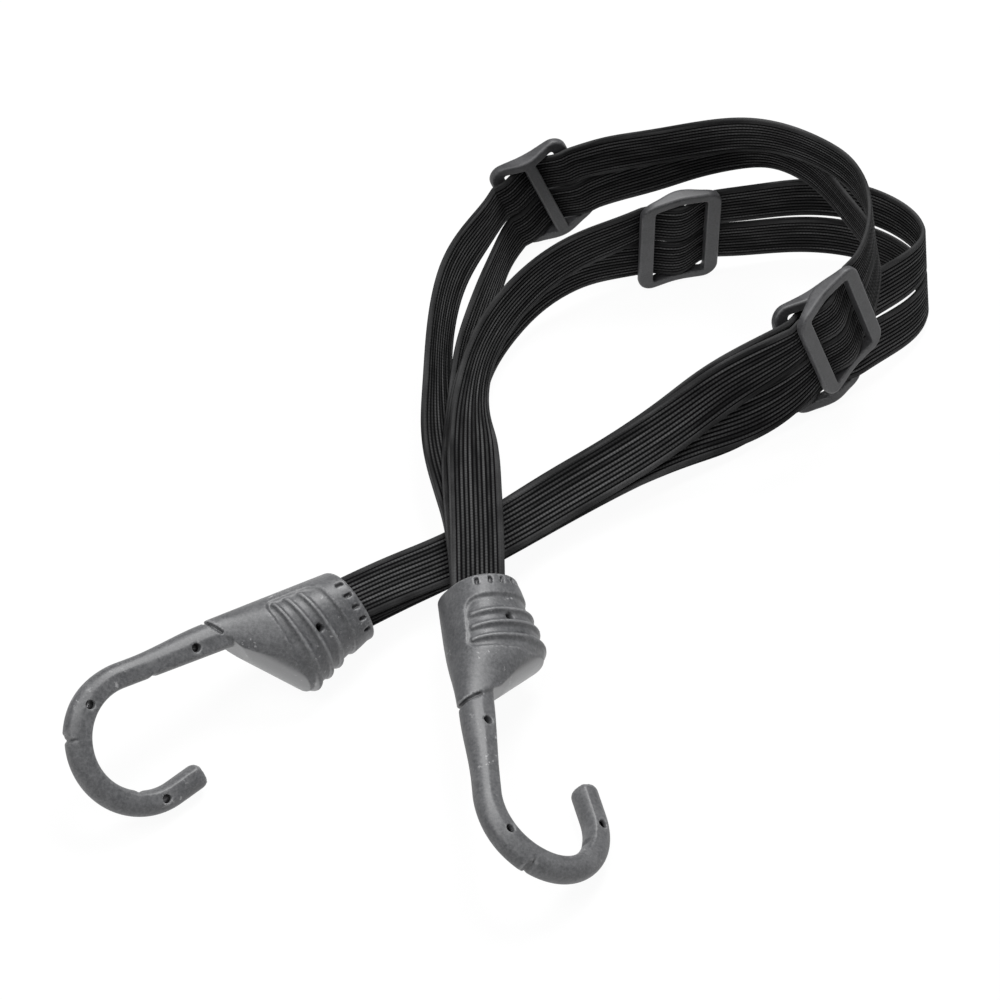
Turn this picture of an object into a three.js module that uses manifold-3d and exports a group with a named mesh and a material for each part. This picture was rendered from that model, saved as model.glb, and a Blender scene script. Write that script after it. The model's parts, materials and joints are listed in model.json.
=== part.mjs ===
// Elastic luggage net: four flat ribbed rubber-cored bands run side by side from one hook to the
// other, gathered in pairs by four tri-glide sliders. It lies here as a loop, one hook's bundle
// crossing over the other's. Millimetres, +Z up, the floor at z = 0.
import * as THREE from 'three';
import Module from 'manifold-3d';

const wasm = await Module();
wasm.setup();

// Bands
const BAND_WIDTH = 14;
const BAND_THICK = 1.4;
const BAND_EDGE = 0.4;
const LAYER_PITCH = 1.75;
const PAIR_GAP = 0.6;

// Sliders
const SLIDER_LONG = 35.5;
const SLIDER_SHORT = 24;
const SLIDER_RAIL = 2.85;
const SLIDER_END_BAR = 4.2;
const SLIDER_MID_BAR = 3.6;
const SLIDER_THICK = 2.5;
const SLIDER_CORNER = 4.6;
const SLIDER_WAVE = 1.2;
const SLIDER_DIP = 0.8;
const BAND_HUMP = 1.6;
const HUMP_FADE = 14;
const HOLD_FADE = 5;

// Hook rod
const BOW_RADIUS = 16.3;
const BOW_TURN = 193;
const ROD_HALF = 3.25;
const SHANK_TAPER = 1.0;
const TIP_LENGTH = 8.6;
const SHANK_START = -40;

// Hook barrel, measured along the shank from the centre of the bow
const MOUTH_U = -66.6;
const MOUTH_V = -12.2;
const RIM_SLANT = 0.14;
const RIM_TILT = -0.28;
const BORE_TILT = 6.5;
const BORE_RADIUS = 8.15;
const BORE_DEPTH = 10.1;
const FACET_SUM = -42.4;
const FACET_CROWN = 19;
const RIB_COUNT = 3;
const RIB_PITCH = 5.2;
const RIB_FIRST = -53.5;
const RIB_HALF = 0.85;
const PANEL_START = -59;
const PANEL_END = -39.6;
const PANEL_DEPTH = 0.6;
const PANEL_TURN = 143;
const RIB_HEIGHT = 0.9;
const RIB_TURN = 138;
const POCKET_COUNT = 5;

// Steel inside the hooks
const WIRE_RADIUS = 1.6;
const CHANNEL_RADIUS = 1.95;
const PIN_RADIUS = 1.15;
const CRIMP_START = 10.6;
const CRIMP_LENGTH = 12.6;
const CRIMP_WALL = 0.8;
const CRIMP_PLAY = 0.4;
const STACK_CLOCK = 36;
const BAND_END = 22.4;

// Where the two hooks lie: centre of the bow, direction of the shank, direction of the tip
const FRONT_HOOK = {
  centre: [10.23, -110.53, 12.63],
  shank: [0.0847, -0.9953, 0.0468],
  tip: [0.8305, 0.0446, -0.5553],
};
const LEFT_HOOK = {
  centre: [-89.34, -89.72, 15.12],
  shank: [-0.8166, -0.5481, 0.181],
  tip: [0.3162, -0.6872, -0.6541],
};

// Where the sliders stand: centre, compass heading of the bands, their climb, the lean of the
// slider towards the inside of the loop, and the face on which the bands pass the middle bar
const SLIDERS = {
  slider_back_left: { at: [12.8, 98.9, 19.32], head: 19, climb: 21, lean: 1, face: -1 },
  slider_back_mid: { at: [50.7, 83.2, 17.64], head: 17, climb: 2, lean: 4, face: 1 },
  slider_front_outer: { at: [90.8, 32.2, 33.6], head: 228, climb: -18, lean: 10, face: -1 },
  slider_front_inner: { at: [88.2, 40.6, 17.22], head: 215, climb: -4, lean: 20, face: 1 },
};

const DEG = Math.PI / 180;
const STEEL = { color: 0xb4b6b8, roughness: 0.4, metalness: 1 };
const HOOK_PLASTIC = { color: 0x5e5e60, roughness: 0.62, metalness: 0 };
const SLIDER_PLASTIC = { color: 0x3e3e40, roughness: 0.5, metalness: 0 };
const ELASTIC = { color: 0x171717, roughness: 0.85, metalness: 0 };

const vec = (p) => new THREE.Vector3(p[0], p[1], p[2]);

// A closed skin over rings of points that turn anticlockwise seen against the way of travel
function loft(rings, closed = false) {
  const count = rings[0].length;
  const points = rings.flat();
  const faces = [];
  const spans = closed ? rings.length : rings.length - 1;
  for (let i = 0; i < spans; i += 1) {
    const a = i * count;
    const b = ((i + 1) % rings.length) * count;
    for (let k = 0; k < count; k += 1) {
      const m = (k + 1) % count;
      faces.push(a + k, a + m, b + m, a + k, b + m, b + k);
    }
  }
  if (!closed) {
    const last = (rings.length - 1) * count;
    for (let k = 1; k < count - 1; k += 1) {
      faces.push(0, k + 1, k);
      faces.push(last, last + k, last + k + 1);
    }
  }
  return { points, faces };
}

function solid({ points, faces }) {
  const vertProperties = new Float32Array(points.flatMap((p) => [p.x, p.y, p.z]));
  const triVerts = new Uint32Array(faces);
  return new wasm.Manifold(new wasm.Mesh({ numProp: 3, vertProperties, triVerts }));
}

function mesh(name, body, look) {
  const shape = body.getMesh();
  const geometry = new THREE.BufferGeometry();
  geometry.setAttribute('position', new THREE.BufferAttribute(new Float32Array(shape.vertProperties), 3));
  geometry.setIndex(new THREE.BufferAttribute(new Uint32Array(shape.triVerts), 1));
  geometry.computeVertexNormals();
  const piece = new THREE.Mesh(geometry, new THREE.MeshStandardMaterial(look));
  piece.name = name;
  return piece;
}

// A straight bar of any outline between two points, the outline given across and over the bar
function bar(from, to, across, outline) {
  const way = to.clone().sub(from).normalize();
  const over = way.clone().cross(across).normalize();
  const side = over.clone().cross(way);
  const ring = (at) => outline.map(([x, y]) => at.clone().addScaledVector(side, x).addScaledVector(over, y));
  return solid(loft([ring(from), ring(to)]));
}

function circle(radius, count) {
  const outline = [];
  for (let k = 0; k < count; k += 1) {
    const a = (2 * Math.PI * k) / count;
    outline.push([radius * Math.cos(a), radius * Math.sin(a)]);
  }
  return outline;
}

function rounded(halfX, halfY, radius, steps = 3) {
  const outline = [];
  const corners = [[1, 1, 0], [-1, 1, 90], [-1, -1, 180], [1, -1, 270]];
  for (const [sx, sy, start] of corners) {
    for (let k = 0; k <= steps; k += 1) {
      const a = (start + (90 * k) / steps) * DEG;
      const x = sx * (halfX - radius) + radius * Math.cos(a);
      const y = sy * (halfY - radius) + radius * Math.sin(a);
      outline.push([x, y]);
    }
  }
  return outline;
}

// Value of a profile given as [station, value] pairs, eased between them
function profile(table, at) {
  if (at <= table[0][0]) return table[0][1];
  for (let i = 1; i < table.length; i += 1) {
    const [end, value] = table[i];
    if (at <= end) {
      const [start, before] = table[i - 1];
      const t = (at - start) / (end - start);
      return before + (value - before) * t;
    }
  }
  return table[table.length - 1][1];
}

// Hook, drawn in its own frame: x along the shank to the bow, y to the tip side, z through it
function rodCentre(run) {
  const bowLength = BOW_RADIUS * BOW_TURN * DEG;
  if (run < 0) {
    return { at: [run, -BOW_RADIUS], way: 0 };
  }
  if (run <= bowLength) {
    const a = run / BOW_RADIUS;
    return { at: [BOW_RADIUS * Math.sin(a), -BOW_RADIUS * Math.cos(a)], way: a };
  }
  const a = BOW_TURN * DEG;
  const rest = run - bowLength;
  const x = BOW_RADIUS * Math.sin(a) + rest * Math.cos(a);
  const y = -BOW_RADIUS * Math.cos(a) + rest * Math.sin(a);
  return { at: [x, y], way: a };
}

function rodRing(run, outline) {
  const { at, way } = rodCentre(run);
  return outline.map(([radial, through]) => new THREE.Vector3(
    at[0] + radial * Math.sin(way),
    at[1] - radial * Math.cos(way),
    -through,
  ));
}

function rodRuns(start, end, steps) {
  const bowLength = BOW_RADIUS * BOW_TURN * DEG;
  const runs = [1, 0.65, 0.5, 0.35, 0.2].map((share) => start * share);
  for (let k = 0; k <= steps; k += 1) {
    runs.push((bowLength * k) / steps);
  }
  runs.push(end);
  return runs;
}

// Flat faces for the pin holes, rounded flanks; the shank grows outwards towards the barrel
function rodOutline(run) {
  const grown = ROD_HALF + SHANK_TAPER * THREE.MathUtils.smoothstep(-run, 4, 26);
  const corner = [[1, 0.35], [0.88, 0.74], [0.68, 1]];
  const back = corner.slice().reverse();
  const quarters = [
    ...corner,
    ...back.map(([x, y]) => [-x, y]),
    ...corner.map(([x, y]) => [-x, -y]),
    ...back.map(([x, y]) => [x, -y]),
  ];
  return quarters.map(([x, y]) => [x * (x > 0 ? grown : ROD_HALF), y * grown]);
}

const ROD_END = BOW_RADIUS * BOW_TURN * DEG + TIP_LENGTH;

// Barrel: the spine runs straight, the tip side swells to a lobe for the thumb
const SPINE = [[-67.5, -22.2], [-27, -21.1], [-20, -20.9]];
const BELLY = [[-67.5, -2.2], [-64, -0.9], [-60, 0.6], [-57, 1.8], [-54, 3.2], [-51, 4.7], [-48, 5.7], [-20, 5.7]];
const CHEEK = [[-67.5, 10.6], [-50, 10.6], [-45, 10], [-40, 8.8], [-35, 7.1], [-31, 5.9], [-26, 5], [-20, 4.8]];
const BARREL_SIDES = 28;

// A ring round the barrel; rim, panel and ribs lean towards the mouth on the tip side
function barrelRing(u, depthAt) {
  const tilt = RIM_TILT * (1 - THREE.MathUtils.smoothstep(u, -48, -36));
  const ring = [];
  for (let k = 0; k < BARREL_SIDES; k += 1) {
    const a = (2 * Math.PI * k) / BARREL_SIDES;
    const cut = depthAt(Math.abs(Math.atan2(Math.sin(a), Math.cos(a))) / DEG);
    const c = Math.sign(Math.cos(a)) * Math.abs(Math.cos(a)) ** (Math.cos(a) < 0 ? 0.8 : 1);
    const d = Math.sign(Math.sin(a)) * Math.abs(Math.sin(a)) ** (Math.cos(a) < 0 ? 0.8 : 1);
    let x = u;
    let y = MOUTH_V;
    for (let pass = 0; pass < 4; pass += 1) {
      x = u + tilt * (y - MOUTH_V);
      const low = profile(SPINE, x);
      const high = profile(BELLY, x);
      y = (low + high) / 2 + ((high - low) / 2 - cut) * c;
    }
    const z = (profile(CHEEK, x) - cut) * d;
    const slant = RIM_SLANT * Math.max(0, Math.min(1, (-62 - u) / 4));
    ring.push(new THREE.Vector3(x + slant * z, y, z));
  }
  return ring;
}

function barrelSkin() {
  const none = () => 0;
  const rim = () => 0.5;
  const floor = (angle) => (angle < PANEL_TURN ? PANEL_DEPTH : 0);
  const crest = (angle) => (angle < RIB_TURN ? PANEL_DEPTH - RIB_HEIGHT : floor(angle));
  const rings = [barrelRing(MOUTH_U, rim), barrelRing(MOUTH_U + 0.6, none), barrelRing(-64, none)];
  rings.push(barrelRing(PANEL_START - 0.5, none), barrelRing(PANEL_START, floor));
  for (let k = 0; k < RIB_COUNT; k += 1) {
    const at = RIB_FIRST + RIB_PITCH * k;
    rings.push(barrelRing(at - RIB_HALF - 0.35, floor), barrelRing(at - RIB_HALF + 0.15, crest));
    rings.push(barrelRing(at + RIB_HALF - 0.15, crest), barrelRing(at + RIB_HALF + 0.35, floor));
  }
  rings.push(barrelRing(PANEL_END, floor), barrelRing(PANEL_END + 0.5, none));
  for (const u of [-37, -34, -31, -28, -24]) {
    rings.push(barrelRing(u, none));
  }
  return solid(loft(rings));
}

// Line of the bore, from the middle of the mouth inwards
const BORE_WAY = new THREE.Vector3(Math.cos(BORE_TILT * DEG), Math.sin(BORE_TILT * DEG), 0);
const BORE_UP = new THREE.Vector3(-BORE_WAY.y, BORE_WAY.x, 0);
const Z = new THREE.Vector3(0, 0, 1);
const STACK_WIDE = BORE_UP.clone().multiplyScalar(Math.cos(STACK_CLOCK * DEG))
  .addScaledVector(Z, Math.sin(STACK_CLOCK * DEG));
const STACK_UP = Z.clone().multiplyScalar(Math.cos(STACK_CLOCK * DEG))
  .addScaledVector(BORE_UP, -Math.sin(STACK_CLOCK * DEG));

function boreAt(depth) {
  return new THREE.Vector3(MOUTH_U, MOUTH_V, 0).addScaledVector(BORE_WAY, depth);
}

const STACK_HALF = (3 * LAYER_PITCH + BAND_THICK) / 2;
const CRIMP_IN_X = BAND_WIDTH / 2 + CRIMP_PLAY;
const CRIMP_IN_Y = STACK_HALF + CRIMP_PLAY;

function hookShell() {
  const rod = solid(loft(rodRuns(SHANK_START, ROD_END, 28).map((run) => rodRing(run, rodOutline(run)))));
  // crowned face that ends the lobe at the throat, and the slanting step down to the shank
  const facetWay = new THREE.Vector3(1, -1, 0).normalize();
  const facetOut = new THREE.Vector3(1, 1, 0).normalize();
  const facetAt = facetOut.clone().multiplyScalar(FACET_SUM / Math.SQRT2 + 30);
  const facetMid = facetAt.clone().addScaledVector(facetWay, -20);
  const facetBlock = bar(
    facetMid.clone().addScaledVector(facetWay, -60),
    facetMid.clone().addScaledVector(facetWay, 60),
    facetOut,
    [[30, 20], [-30 - FACET_CROWN, 20], [-30 - FACET_CROWN, -20], [30, -20]],
  );
  const crownAt = facetMid.clone().addScaledVector(facetOut, -30 - FACET_CROWN);
  const crown = bar(
    crownAt.clone().addScaledVector(facetWay, -70),
    crownAt.clone().addScaledVector(facetWay, 70),
    facetOut,
    circle(FACET_CROWN, 36),
  );
  const facet = facetBlock.subtract(crown);
  const stepWay = new THREE.Vector3(-5.5, 9, 0).normalize();
  const stepOut = new THREE.Vector3(9, 5.5, 0).normalize();
  const stepMid = new THREE.Vector3(-27, -20, 0).addScaledVector(stepOut, 30);
  const step = bar(
    stepMid.clone().addScaledVector(stepWay, -60),
    stepMid.clone().addScaledVector(stepWay, 60),
    stepOut,
    [[30, 20], [-30, 20], [-30, -20], [30, -20]],
  );
  let body = barrelSkin().subtract(facet).subtract(step).add(rod);
  // mouth bore, chamber for the crimp, channel for the wire
  const bore = bar(boreAt(-6), boreAt(BORE_DEPTH + 0.2), BORE_UP, circle(BORE_RADIUS, 28));
  const room = CRIMP_WALL + 0.35;
  const chamber = bar(
    boreAt(BORE_DEPTH),
    boreAt(CRIMP_START + CRIMP_LENGTH + 0.5),
    STACK_WIDE,
    rounded(CRIMP_IN_X + room, CRIMP_IN_Y + room, 2, 2),
  );
  const wireStart = MOUTH_U + CRIMP_START + CRIMP_LENGTH - 1.2;
  const channel = solid(loft(rodRuns(wireStart, ROD_END - 2, 28).map((run) => rodRing(run, circle(CHANNEL_RADIUS, 8)))));
  body = body.subtract(bore).subtract(chamber).subtract(channel);
  // holes and notches left by the pins that held the wire in the mould
  for (const run of [-20.5, 40.6 * DEG * BOW_RADIUS, 181.3 * DEG * BOW_RADIUS]) {
    const [x, y] = rodCentre(run).at;
    const hole = bar(
      new THREE.Vector3(x, y, -12),
      new THREE.Vector3(x, y, 12),
      new THREE.Vector3(1, 0, 0),
      circle(PIN_RADIUS, 10),
    );
    body = body.subtract(hole);
  }
  const gripHole = bar(
    new THREE.Vector3(-51, -10.5, 4),
    new THREE.Vector3(-51, -10.5, 14),
    new THREE.Vector3(1, 0, 0),
    circle(PIN_RADIUS, 10),
  );
  body = body.subtract(gripHole);
  const nicks = [
    [71.1 * DEG * BOW_RADIUS, ROD_HALF + 0.5],
    [157.8 * DEG * BOW_RADIUS, -ROD_HALF - 0.5],
    [-8, -ROD_HALF - 0.5],
  ];
  for (const [run, out] of nicks) {
    const { at, way } = rodCentre(run);
    const x = at[0] + out * Math.sin(way);
    const y = at[1] - out * Math.cos(way);
    const nick = bar(
      new THREE.Vector3(x, y, -12),
      new THREE.Vector3(x, y, 12),
      new THREE.Vector3(1, 0, 0),
      circle(1.2, 8),
    );
    body = body.subtract(nick);
  }
  // shallow pockets behind the rim on the face that carries the pin holes
  for (let k = 0; k < POCKET_COUNT; k += 1) {
    const a = (90 + 15 * (k - (POCKET_COUNT - 1) / 2)) * DEG;
    const out = new THREE.Vector3(0, Math.cos(a), Math.sin(a));
    const at = new THREE.Vector3(0, MOUTH_V, 0).addScaledVector(out, 10.5);
    const rimAt = MOUTH_U + RIM_TILT * (at.y - MOUTH_V) + RIM_SLANT * at.z;
    const pocket = bar(
      at.clone().setX(rimAt + 1.3),
      at.clone().setX(rimAt + 3.2),
      out,
      rounded(0.55, 1, 0.3, 1),
    );
    body = body.subtract(pocket);
  }
  return body;
}

function hookWire() {
  const start = MOUTH_U + CRIMP_START + CRIMP_LENGTH + 1.4;
  return solid(loft(rodRuns(start, ROD_END - 2.6, 28).map((run) => rodRing(run, circle(WIRE_RADIUS, 8)))));
}

function hookCrimp() {
  const from = boreAt(CRIMP_START);
  const to = boreAt(CRIMP_START + CRIMP_LENGTH);
  const outer = bar(from, to, STACK_WIDE, rounded(CRIMP_IN_X + CRIMP_WALL, CRIMP_IN_Y + CRIMP_WALL, 1.7, 2));
  const inner = bar(boreAt(CRIMP_START - 1), boreAt(BAND_END + 3), STACK_WIDE, rounded(CRIMP_IN_X, CRIMP_IN_Y, 0.5, 1));
  return outer.subtract(inner);
}

function hookFrame({ centre, shank, tip }) {
  const u = vec(shank).normalize();
  const v = vec(tip);
  v.addScaledVector(u, -v.dot(u)).normalize();
  const w = u.clone().cross(v);
  return new THREE.Matrix4().makeBasis(u, v, w).setPosition(vec(centre));
}

// Slider: a closed frame whose side rails swell to the back, where a bar crosses the middle
function sliderFrame({ at, head, climb, lean }) {
  const along = new THREE.Vector3(
    Math.cos(head * DEG) * Math.cos(climb * DEG),
    Math.sin(head * DEG) * Math.cos(climb * DEG),
    Math.sin(climb * DEG),
  );
  const side = along.clone().cross(Z).normalize();
  const up = side.clone().cross(along);
  const wide = up.clone().multiplyScalar(Math.cos(lean * DEG)).addScaledVector(side, Math.sin(lean * DEG));
  const out = along.clone().cross(wide);
  return { along, wide, out, matrix: new THREE.Matrix4().makeBasis(along, wide, out).setPosition(vec(at)) };
}

function sliderWave(x) {
  const reach = SLIDER_SHORT / 2 - SLIDER_END_BAR / 2;
  return Math.abs(x) >= reach ? SLIDER_WAVE : -SLIDER_WAVE * Math.cos((Math.PI * x) / reach);
}

function sliderFront(x) {
  const reach = SLIDER_SHORT / 2 - SLIDER_END_BAR / 2;
  return Math.abs(x) >= reach ? SLIDER_WAVE : SLIDER_WAVE - (SLIDER_DIP * (1 + Math.cos((Math.PI * x) / reach))) / 2;
}

function sliderLoop(halfX, halfY, radius) {
  const loop = [];
  const corners = [[1, 1, 0], [-1, 1, 90], [-1, -1, 180], [1, -1, 270]];
  const steps = 4;
  corners.forEach(([sx, sy, start], c) => {
    for (let k = 0; k <= steps; k += 1) {
      const a = (start + (90 * k) / steps) * DEG;
      loop.push([sx * (halfX - radius) + radius * Math.cos(a), sy * (halfY - radius) + radius * Math.sin(a)]);
    }
    if (c % 2 === 0) {
      const from = loop[loop.length - 1];
      for (let k = 1; k < 8; k += 1) {
        loop.push([from[0] * (1 - k / 4), from[1]]);
      }
    }
  });
  return loop;
}

function slider(face) {
  const outer = sliderLoop(SLIDER_SHORT / 2, SLIDER_LONG / 2, SLIDER_CORNER);
  const inner = sliderLoop(SLIDER_SHORT / 2 - SLIDER_END_BAR, SLIDER_LONG / 2 - SLIDER_RAIL, 1);
  const half = SLIDER_THICK / 2;
  const ease = 0.7;
  const section = [[0, half - ease], [ease, half], [1, half], [1, -half], [ease, -half], [0, -half + ease]];
  const rings = outer.map(([ox, oy], k) => {
    const [ix, iy] = inner[k];
    const length = Math.hypot(ix - ox, iy - oy);
    return section.map(([t, z]) => {
      const share = t === 1 ? 1 : t / length;
      const x = ox + (ix - ox) * share;
      const y = oy + (iy - oy) * share;
      return new THREE.Vector3(x, y, face * (z + (z > 0 ? sliderFront(x) : sliderWave(x))));
    });
  });
  const ordered = face > 0 ? rings.map((ring) => ring.slice().reverse()) : rings;
  const frame = solid(loft(ordered, true));
  const reach = SLIDER_LONG / 2 - SLIDER_RAIL / 2;
  const level = -face * SLIDER_WAVE;
  const middle = bar(
    new THREE.Vector3(0, -reach, level),
    new THREE.Vector3(0, reach, level),
    new THREE.Vector3(1, 0, 0),
    rounded(SLIDER_MID_BAR / 2, half - 0.05, 0.8, 2),
  );
  return frame.add(middle);
}

// Bands: rows of x, y, z of the line between the two bands of a pair, their lean, the gap between
// their edges (minus where they overlap) and the share of the layer pitch that parts them
function sliderRows(name) {
  const { along } = sliderFrame(SLIDERS[name]);
  const centre = vec(SLIDERS[name].at);
  return [-11, -5.5, 0, 5.5, 11].map((run) => {
    const p = centre.clone().addScaledVector(along, run);
    return [p.x, p.y, p.z, SLIDERS[name].lean, PAIR_GAP, 0];
  });
}

function leanOf(way, wide) {
  const side = way.clone().cross(Z).normalize();
  const up = side.clone().cross(way);
  return Math.atan2(wide.dot(side), wide.dot(up)) / DEG;
}

function mouthRows(hook, depths, level, share) {
  const frame = hookFrame(hook);
  const outwards = depths[0] > depths[depths.length - 1];
  const way = BORE_WAY.clone().transformDirection(frame).multiplyScalar(outwards ? -1 : 1);
  const wide = STACK_WIDE.clone().transformDirection(frame).multiplyScalar(-1);
  const lean = leanOf(way, wide);
  return depths.map((depth) => {
    const p = boreAt(depth).addScaledVector(STACK_UP, level * LAYER_PITCH).applyMatrix4(frame);
    return [p.x, p.y, p.z, lean, -BAND_WIDTH, share];
  });
}

const IN_FRONT = [BAND_END, BAND_END / 2, 0];
const IN_LEFT = [0, BAND_END / 2, BAND_END];

const OUTER_PAIR = [
  ...mouthRows(FRONT_HOOK, IN_FRONT, -1, -1),
  [-6.4, -34, 15.6, -93, -14, -1],
  [-7.6, -20, 15.4, -93, -13.6, -1.1],
  [-10.0, -5, 13.2, -82, -11.5, -1.2],
  [-12.4, 10, 11.2, -60, -8.5, -1.2],
  [-13.4, 26, 11.0, -35, -5, -1.1],
  [-13.0, 44, 13.2, -26, -1.2, -1.1],
  [-9.0, 64, 15.0, -23, 2.6, -1],
  [-3.4, 79.4, 15.4, -14, 2, -0.4],
  ...sliderRows('slider_back_left'),
  [33.0, 102.8, 25.9, 5, -0.8, 0.9],
  [46.0, 99.0, 33.8, 9, -3, 1],
  [60.0, 95.4, 41.4, 9, -4.5, 1],
  [74.0, 91.0, 47.2, 10, -5, 1],
  [86.6, 83.4, 47.6, 12, -1, 1],
  [96.4, 70.6, 46.8, 9, 4.8, 0],
  [102.2, 55.2, 47.0, 8, 2.2, 0],
  ...sliderRows('slider_front_outer'),
  [67.0, 16.8, 23.6, 26, -0.8, -1],
  [50.0, 10.6, 17.6, 44, -8.6, -1],
  [33.0, 2.0, 13.6, 58, -12.4, -1],
  [17.0, -7.4, 10.9, 66, -13.4, -1],
  [2.0, -17.6, 9.4, 74, -14, -1],
  [-13.0, -28, 9.4, 78, -14, -1],
  [-26.0, -36, 11.0, 80, -14, -1],
  ...mouthRows(LEFT_HOOK, IN_LEFT, 1, -1),
];

const INNER_PAIR = [
  ...mouthRows(FRONT_HOOK, IN_FRONT, 1, 1),
  [-5.8, -34, 19.3, -93, -14, 1],
  [-6.2, -20, 19.4, -95, -14, 1],
  [-6.8, -5, 17.8, -88, -14, 1],
  [-7.6, 10, 14.8, -68, -14, 1],
  [-8.2, 25, 12.0, -40, -13.4, 1],
  [-6.2, 40, 11.2, -26, -11.5, 1],
  [0.2, 55, 11.7, -18, -9, 1],
  [12.0, 68.8, 14.6, -9, -7, 1],
  [25.4, 76.4, 17.0, -2, -4, 1.1],
  [32.6, 78.2, 17.2, 1, -1.4, 1.25],
  ...sliderRows('slider_back_mid'),
  [80.0, 92.6, 16.4, 1, 1.0, 0],
  [94.0, 93.2, 16.2, 0, 1.2, 0],
  [107.0, 90.0, 15.8, 2, 1.4, 0],
  [117.5, 82.5, 15.0, 4, 1.4, 0],
  [121.6, 72.5, 15.4, 8, 1.0, 0],
  [116.0, 61.6, 16.2, 16, 1.4, 0],
  ...sliderRows('slider_front_inner'),
  [62.5, 23.2, 13.4, 34, -0.8, -1],
  [46.5, 14.6, 10.1, 50, -8.6, -1],
  [30.5, 5.2, 7.9, 62, -12.4, -1],
  [15.0, -4.8, 6.8, 70, -13.4, -1],
  [0.5, -15.2, 5.6, 76, -14, -1],
  [-14.0, -26, 5.6, 79, -14, -1],
  [-26.0, -34.6, 7.4, 80, -14, -1],
  ...mouthRows(LEFT_HOOK, IN_LEFT, -1, -1),
];

// Slope at a row that keeps lean, gap and layering from swinging past the rows
function slope(before, after) {
  return before * after > 0 ? (2 * before * after) / (before + after) : 0;
}

// Smooth run through the rows, more stations where a slider humps the bands
function stations(rows) {
  const first = rows[0].map((v, k) => 2 * v - rows[1][k]);
  const last = rows[rows.length - 1].map((v, k) => 2 * v - rows[rows.length - 2][k]);
  const all = [first, ...rows, last];
  const gap = (a, b) => Math.sqrt(Math.hypot(b[0] - a[0], b[1] - a[1], b[2] - a[2]));
  const mix = (a, b, ta, tb, t) => a.map((v, k) => (v * (tb - t) + b[k] * (t - ta)) / (tb - ta));
  const run = [];
  for (let i = 1; i < all.length - 2; i += 1) {
    const [p0, p1, p2, p3] = all.slice(i - 1, i + 3);
    const t1 = gap(p0, p1);
    const t2 = t1 + gap(p1, p2);
    const t3 = t2 + gap(p2, p3);
    const steps = Math.max(2, Math.round((t2 - t1) ** 2 / ((t2 - t1) ** 2 < 9 ? 2 : 5.5)));
    for (let k = 0; k < steps; k += 1) {
      const t = t1 + ((t2 - t1) * k) / steps;
      const a = mix(p0, p1, 0, t1, t);
      const b = mix(p1, p2, t1, t2, t);
      const c = mix(p2, p3, t2, t3, t);
      const d = mix(a, b, 0, t2, t);
      const e = mix(b, c, t1, t3, t);
      const s = k / steps;
      const rest = [3, 4, 5].map((n) => {
        const rise = (p2[n] - p1[n]) / (t2 - t1);
        const start = slope((p1[n] - p0[n]) / t1, rise) * (t2 - t1);
        const end = slope(rise, (p3[n] - p2[n]) / (t3 - t2)) * (t2 - t1);
        const ease = s * s * (3 - 2 * s);
        return p1[n] + (p2[n] - p1[n]) * ease + start * s * (1 - s) ** 2 - end * s * s * (1 - s);
      });
      run.push([...mix(d, e, t1, t2, t).slice(0, 3), ...rest]);
    }
  }
  run.push(rows[rows.length - 1]);
  return run;
}

function hump(run) {
  const bar = SLIDER_SHORT / 2 - SLIDER_END_BAR / 2;
  const x = Math.abs(run);
  if (x < bar) return BAND_HUMP * Math.cos((Math.PI * x) / bar);
  if (x > bar + HUMP_FADE) return 0;
  return -BAND_HUMP * 0.5 * (1 + Math.cos((Math.PI * (x - bar)) / HUMP_FADE));
}

function band(rows, part, names) {
  const run = stations(rows);
  const half = BAND_WIDTH / 2;
  const thick = BAND_THICK / 2;
  const flat = half - BAND_EDGE;
  const outline = [[half, 0], [flat, thick], [-flat, thick], [-half, 0], [-flat, -thick], [flat, -thick]];
  const rings = run.map((row, k) => {
    const before = vec(run[Math.max(k - 1, 0)]);
    const after = vec(run[Math.min(k + 1, run.length - 1)]);
    const way = after.sub(before).normalize();
    const side = way.clone().cross(Z).normalize();
    const up = side.clone().cross(way);
    const lean = row[3] * DEG;
    const wide = up.multiplyScalar(Math.cos(lean)).addScaledVector(side, Math.sin(lean));
    const at = vec(row);
    let lift = (part * row[5] * LAYER_PITCH) / 2;
    for (const name of names) {
      const hold = sliderFrame(SLIDERS[name]);
      const middle = vec(SLIDERS[name].at);
      const off = at.clone().sub(middle);
      if (off.length() > 28) continue;
      const along = off.dot(hold.along);
      const edge = SLIDER_SHORT / 2 + 0.8;
      const held = 1 - THREE.MathUtils.smoothstep(Math.abs(along), edge, edge + HOLD_FADE);
      at.lerp(middle.addScaledVector(hold.along, along), held);
      way.lerp(hold.along, held).normalize();
      wide.lerp(hold.wide, held).normalize();
      lift += SLIDERS[name].face * hump(along);
    }
    const out = way.clone().cross(wide).normalize();
    const centre = at.addScaledVector(wide, (part * (BAND_WIDTH + row[4])) / 2).addScaledVector(out, lift);
    return outline.map(([x, y]) => centre.clone().addScaledVector(wide, x).addScaledVector(out, y));
  });
  return solid(loft(rings));
}

// Assembly
const net = new THREE.Group();
const hard = [];

for (const [name, pose] of [['hook_front', FRONT_HOOK], ['hook_left', LEFT_HOOK]]) {
  const hook = new THREE.Group();
  hook.applyMatrix4(hookFrame(pose));
  hook.add(mesh(`${name}_shell`, hookShell(), HOOK_PLASTIC));
  hook.add(mesh(`${name}_wire`, hookWire(), STEEL));
  hook.add(mesh(`${name}_crimp`, hookCrimp(), STEEL));
  net.add(hook);
  hard.push(hook);
}

for (const [name, pose] of Object.entries(SLIDERS)) {
  const piece = mesh(name, slider(pose.face), SLIDER_PLASTIC);
  piece.applyMatrix4(sliderFrame(pose).matrix);
  net.add(piece);
  hard.push(piece);
}

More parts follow.
